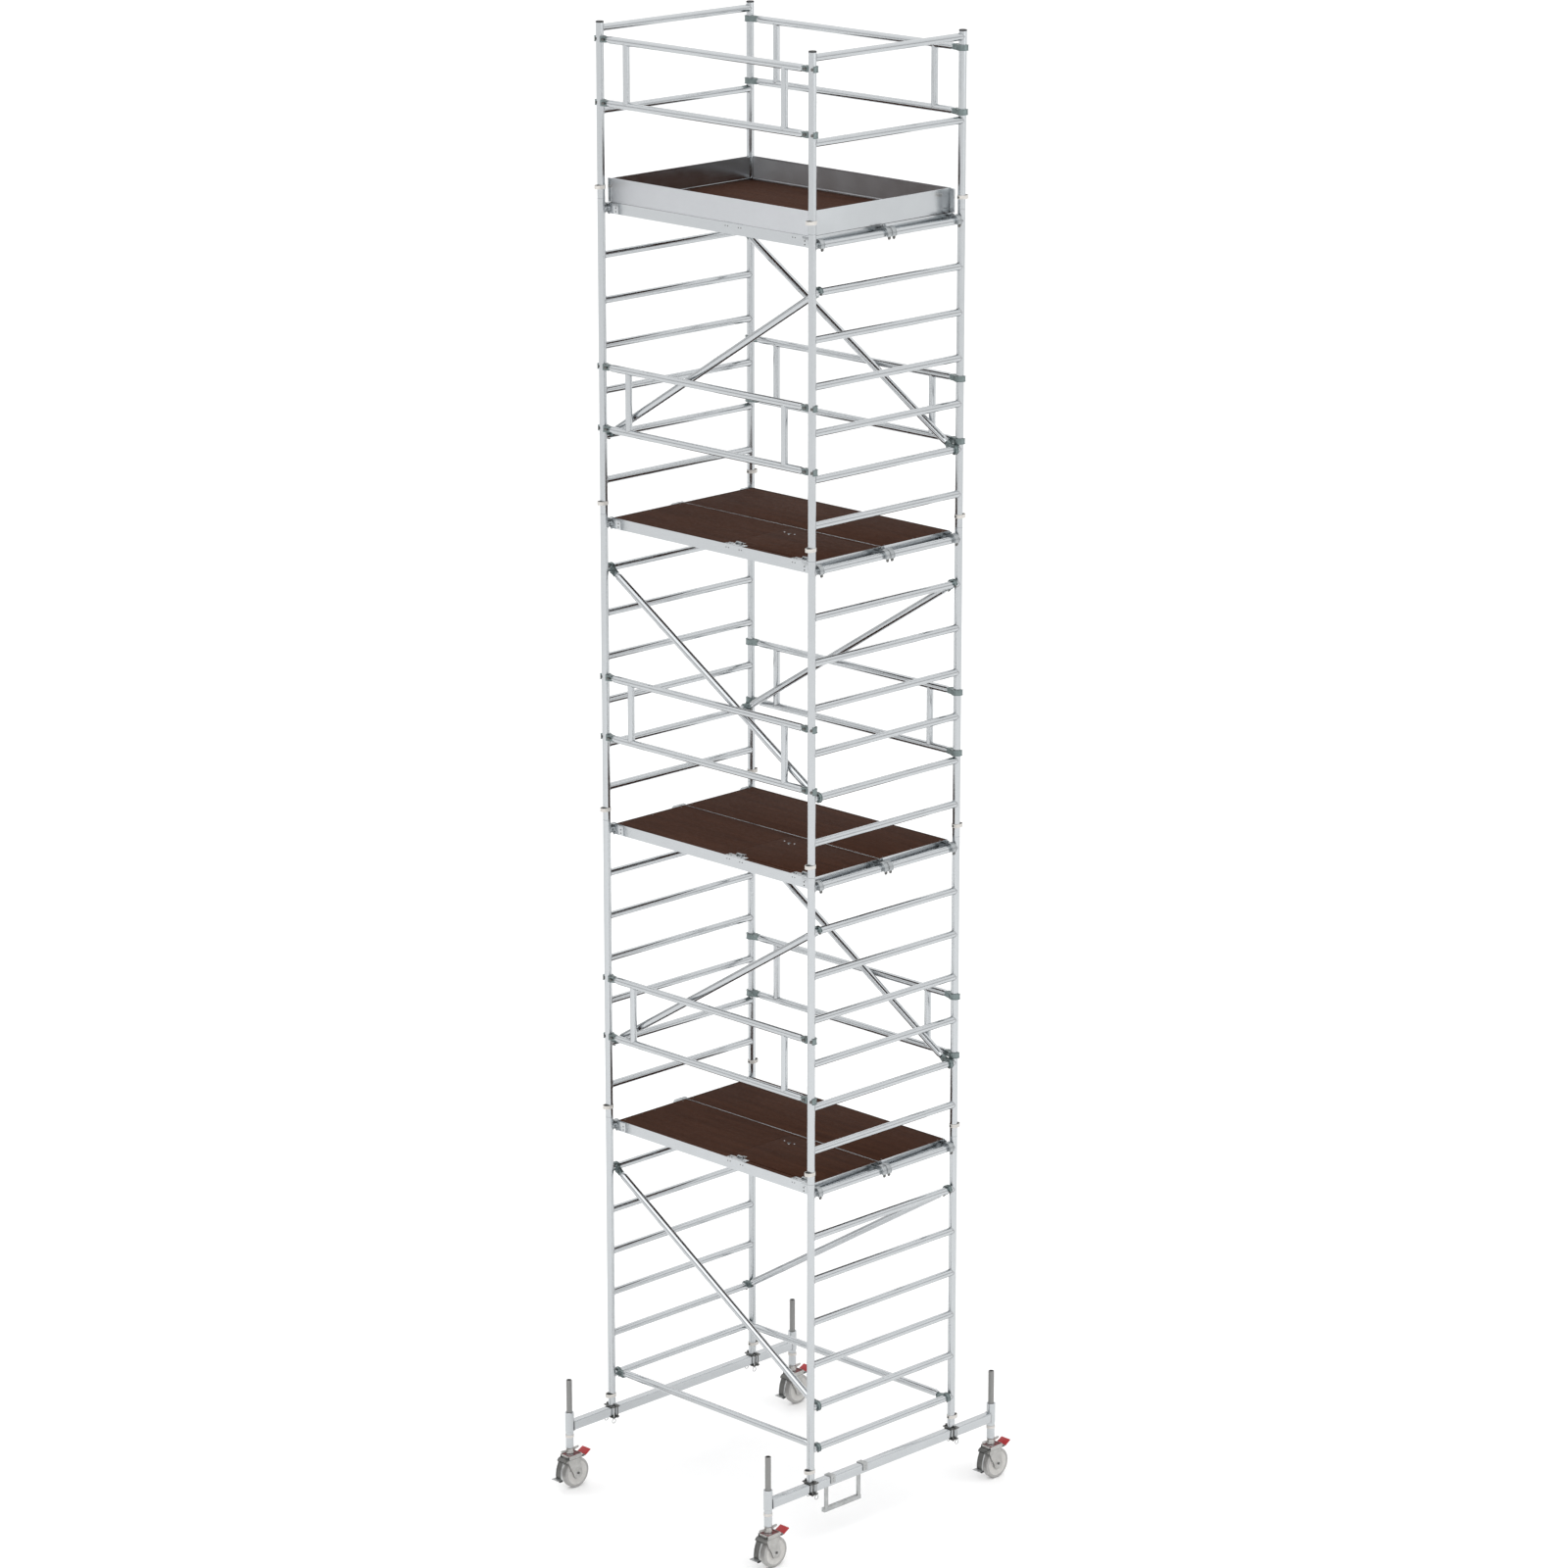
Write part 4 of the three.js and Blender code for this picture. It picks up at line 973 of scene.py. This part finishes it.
def access_step():
    """Step of flat bar hooked over the crossbeam, with a square tread bar."""
    shape = Shape(ZINC, DARK_STEEL)
    inside = -BEAM_WIDTH / 2 - SLIP
    outside = BEAM_WIDTH / 2 + SLIP
    top = BEAM_TOP + SLIP
    metal = 0.005
    low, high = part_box("access_step")
    legs = (low.y - MID_Y + 0.020, high.y - MID_Y - 0.020)
    strap = [
        (inside - metal, top - 0.040), (inside - metal, top + metal - 0.003),
        (inside - metal + 0.003, top + metal),
        (outside + metal - 0.003, top + metal), (outside + metal, top + metal - 0.003),
        (outside + metal, top - 0.0445), (outside, top - 0.0445), (outside, top), (inside, top),
        (inside, top - 0.040)]
    tread_top = low.z + 0.028
    for y in legs:
        shape.slab(strap, 0.039, moved(0, y, 0) @ UPRIGHT_XZ, 0, 0.0008)
        shape.block((inside - 0.012, y - 0.014, low.z + 0.003),
                    (inside - 0.0002, y + 0.014, top - 0.010), 0, 0.0015)
        for z in (0.012, 0.030):
            face = moved(outside + metal, y, top - z) @ ALONG_X
            rivet(shape, face @ moved(0, 0, -0.0024), 1, 0.0050)
    shape.block((inside - 0.0275, legs[0] - 0.0195, low.z),
                (inside - 0.0003, legs[1] + 0.0195, tread_top), 0, 0.0022)
    # Dark steel strips flush with the tread top: painted shade of grip grooves, which are not cut.
    for i in range(9):
        y = legs[0] + 0.02 + i * (legs[1] - legs[0] - 0.04) / 8
        shape.block((inside - 0.0255, y - 0.0012, tread_top - 0.0014),
                    (inside - 0.0022, y + 0.0012, tread_top), 1, 0)
    return shape.finished("access_step")


# ---------------------------------------------------------------- assembly

RUNG_HEIGHTS = [RUNG_ABOVE_SEAM + i * RUNG_PITCH for i in range(RUNGS_PER_FRAME)]
LADDER = end_frame(FRAME_HEIGHT, RUNG_HEIGHTS, caps=False)
GUARD_FRAME = end_frame(GUARD_FRAME_HEIGHT, GUARD_FRAME_RAILS, caps=True)
CLIP = locking_clip()
CROSSBEAM = crossbeam()
NUT = wing_nut()
CLAMP = foot_clamp()
SPINDLE = spindle()
FORK_SHAPE = caster_fork()
ROCKER_STEEL = rocker_steel()
ROCKER_PEDAL = rocker_pedal()
WHEEL_SHAPE = wheel()
FRONT_DECK = deck_frame(HATCH_HINGES)
BACK_DECK = deck_frame()
FRONT_BOARD = deck_board(True)
BACK_BOARD = deck_board(False)
HATCH = hatch()
RAIL = guard_rail()
BRACE = clawed_bar(math.hypot(BAY_LENGTH, BRACE_RISE), 0.0, BRACE_CLAW_WIDTH)
BASE_BAR = clawed_bar(BAY_LENGTH, BASE_BAR_RISE, BRACE_CLAW_WIDTH)
STEP = access_step()
TOES = toe_boards()
ENDS = (("left", -1), ("right", 1))
ROWS = (("front", -1), ("back", 1))

for end, side in ENDS:
    x = side * END_X
    put(f"crossbeam_{end}_looks", CROSSBEAM, at(x, 0, 0), "tower", [f"crossbeam_{end}"])
    for level in range(4):
        node = f"ladder_frame_{end}_{level + 1}"
        place = at(x, 0, FIRST_SEAM + level * FRAME_HEIGHT)
        put(f"{node}_looks", LADDER, place, "tower", [node])
    node = f"guard_frame_{end}"
    put(f"{node}_looks", GUARD_FRAME, at(x, 0, TOP_SEAM), "tower", [node])
    for row, way in ROWS:
        corner = f"{row}_{end}"
        turn = 0.0 if way < 0 else math.pi
        for joint in range(5):
            z = FIRST_SEAM + joint * FRAME_HEIGHT + CLIP_ABOVE_SEAM
            put(f"locking_clip_{corner}_{joint}", CLIP, at(x, way * POST_Y, z, turn), "tower")
        clamp_turn = 0.0 if side > 0 else math.pi
        put(f"foot_clamp_{corner}", CLAMP, at(x, way * POST_Y, 0, clamp_turn), "tower")
        leg = at(x, way * LEG_Y, 0)
        put(f"wing_nut_{corner}", NUT, leg, "tower")
        put(f"leg_spindle_{corner}_looks", SPINDLE, leg, f"leg_{corner}", [f"leg_spindle_{corner}"])
        put(f"caster_fork_{corner}_looks", FORK_SHAPE, leg, f"swivel_{corner}",
            [f"caster_fork_{corner}"])
        put(f"brake_rocker_{corner}_steel", ROCKER_STEEL, leg, f"rocker_{corner}",
            [f"brake_rocker_{corner}"])
        put(f"brake_rocker_{corner}_pedal", ROCKER_PEDAL, leg, f"rocker_{corner}",
            [f"brake_rocker_{corner}"])
        hub = at(x, way * LEG_Y + WHEEL_TRAIL, WHEEL_RADIUS)
        put(f"wheel_{corner}_looks", WHEEL_SHAPE, hub, f"wheel_{corner}", [f"wheel_{corner}"])

for level in range(4):
    number = level + 1
    first_rung = FIRST_RUNG + level * FRAME_HEIGHT
    rung = first_rung + (RUNGS_PER_FRAME - 1) * RUNG_PITCH
    for row, turn, frame_mesh, board_mesh in (
            ("front", 0.0, FRONT_DECK, FRONT_BOARD), ("back", math.pi, BACK_DECK, BACK_BOARD)):
        place = at(0, 0, rung, turn)
        node = f"deck_{row}_{number}"
        put(f"{node}_frame", frame_mesh, place, "tower", [node])
        put(f"{node}_board", board_mesh, place, "tower", [node])
    put(f"hatch_{number}_looks", HATCH, at(0, 0, rung), f"hatch_{number}", [f"hatch_{number}"])
    for row, way in ROWS:
        turn = 0.0 if way < 0 else math.pi
        node = f"guard_rail_{row}_{number}"
        rail_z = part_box(node)[0].z + RAIL_CLAW_HEIGHT / 2
        rail_z += max(0.0, TUBE_RADIUS - RAIL_CLAW_HEIGHT / 2)
        put(f"{node}_looks", RAIL, at(0, way * POST_Y, rail_z, turn), "tower", [node])
        node = f"brace_{row}_{number}"
        climbs_right = (level % 2 == 0) == (way > 0)
        slope = math.atan2(BRACE_RISE, BAY_LENGTH)
        foot = -END_X if climbs_right else END_X
        place = at(foot, way * BRACE_Y, first_rung + RUNG_PITCH, 0.0 if climbs_right else math.pi)
        put(f"{node}_looks", BRACE, place @ Matrix.Rotation(-slope, 4, "Y"), "tower", [node])

for row, way in ROWS:
    put(f"base_bar_{row}_looks", BASE_BAR, at(-END_X, way * BRACE_Y, FIRST_RUNG), "tower",
        [f"base_bar_{row}"])
put("access_step_looks", STEP, at(END_X, 0, 0), "tower", ["access_step"])
TOP_RUNG = FIRST_RUNG + (4 * RUNGS_PER_FRAME - 1) * RUNG_PITCH
put("toe_boards_looks", TOES, at(0, 0, TOP_RUNG), "tower", ["toe_boards"])

# ---------------------------------------------------------------- floor, light and camera


def floor():
    mesh = bpy.data.meshes.new("floor")
    reach = 400.0
    mesh.from_pydata([(-reach, -reach, 0), (reach, -reach, 0), (reach, reach, 0), (-reach, reach, 0)], [],
                     [(0, 1, 2, 3)])
    mesh.materials.append(floor_paint("floor_paint"))
    made = bpy.data.objects.new("floor", mesh)
    bpy.context.scene.collection.objects.link(made)


def studio_light():
    """White room: brighter overhead, greyer towards the horizon, and two broad area lights."""
    world = bpy.data.worlds.new("studio")
    bpy.context.scene.world = world
    world.use_nodes = True
    tree = world.node_tree
    background = tree.nodes["Background"]
    direction = add_node(tree, "ShaderNodeTexCoord").outputs["Generated"]
    split = add_node(tree, "ShaderNodeSeparateXYZ")
    tree.links.new(direction, split.inputs[0])
    ramp = add_node(tree, "ShaderNodeValToRGB")
    stops = ramp.color_ramp.elements
    for position, level in ((0.12, 0.60), (0.24, 0.95), (0.50, 1.12)):
        stop = stops.new(position)
        stop.color = (level, level, level, 1)
    stops[0].color = (0.46, 0.46, 0.47, 1)
    stops[-1].color = (1.30, 1.30, 1.30, 1)
    tree.links.new(split.outputs["Z"], ramp.inputs["Fac"])
    tree.links.new(ramp.outputs["Color"], background.inputs["Color"])
    background.inputs["Strength"].default_value = 1.05
    for name, place, size, power in (
            ("key", (6.0, -16.0, 18.0), 18.0, 1100.0), ("fill", (18.0, 4.0, 12.0), 12.0, 500.0)):
        lamp = bpy.data.lights.new(name, "AREA")
        lamp.size = size
        lamp.energy = power
        holder = bpy.data.objects.new(name, lamp)
        bpy.context.scene.collection.objects.link(holder)
        target = Vector((0, MID_Y, 4.5))
        holder.matrix_world = Matrix.Translation(place) @ (
            Vector(place) - target).to_track_quat("Z", "Y").to_matrix().to_4x4()


def camera():
    """Long lens from the front right, a little above the top deck, looking down on the tower."""
    data = bpy.data.cameras.new("camera")
    data.sensor_width = 36.0
    data.lens = 127.53
    data.clip_end = 900.0
    holder = bpy.data.objects.new("camera", data)
    bpy.context.scene.collection.objects.link(holder)
    place = Vector((23.4789, -23.4826 + MID_Y, 13.2782 + FIRST_RUNG))
    look = Vector((-0.6805, 0.6815, -0.2693))
    holder.matrix_world = Matrix.Translation(place) @ look.to_track_quat("-Z", "Y").to_matrix().to_4x4()
    bpy.context.scene.camera = holder


floor()
studio_light()
camera()
bpy.context.scene.view_settings.view_transform = "Standard"
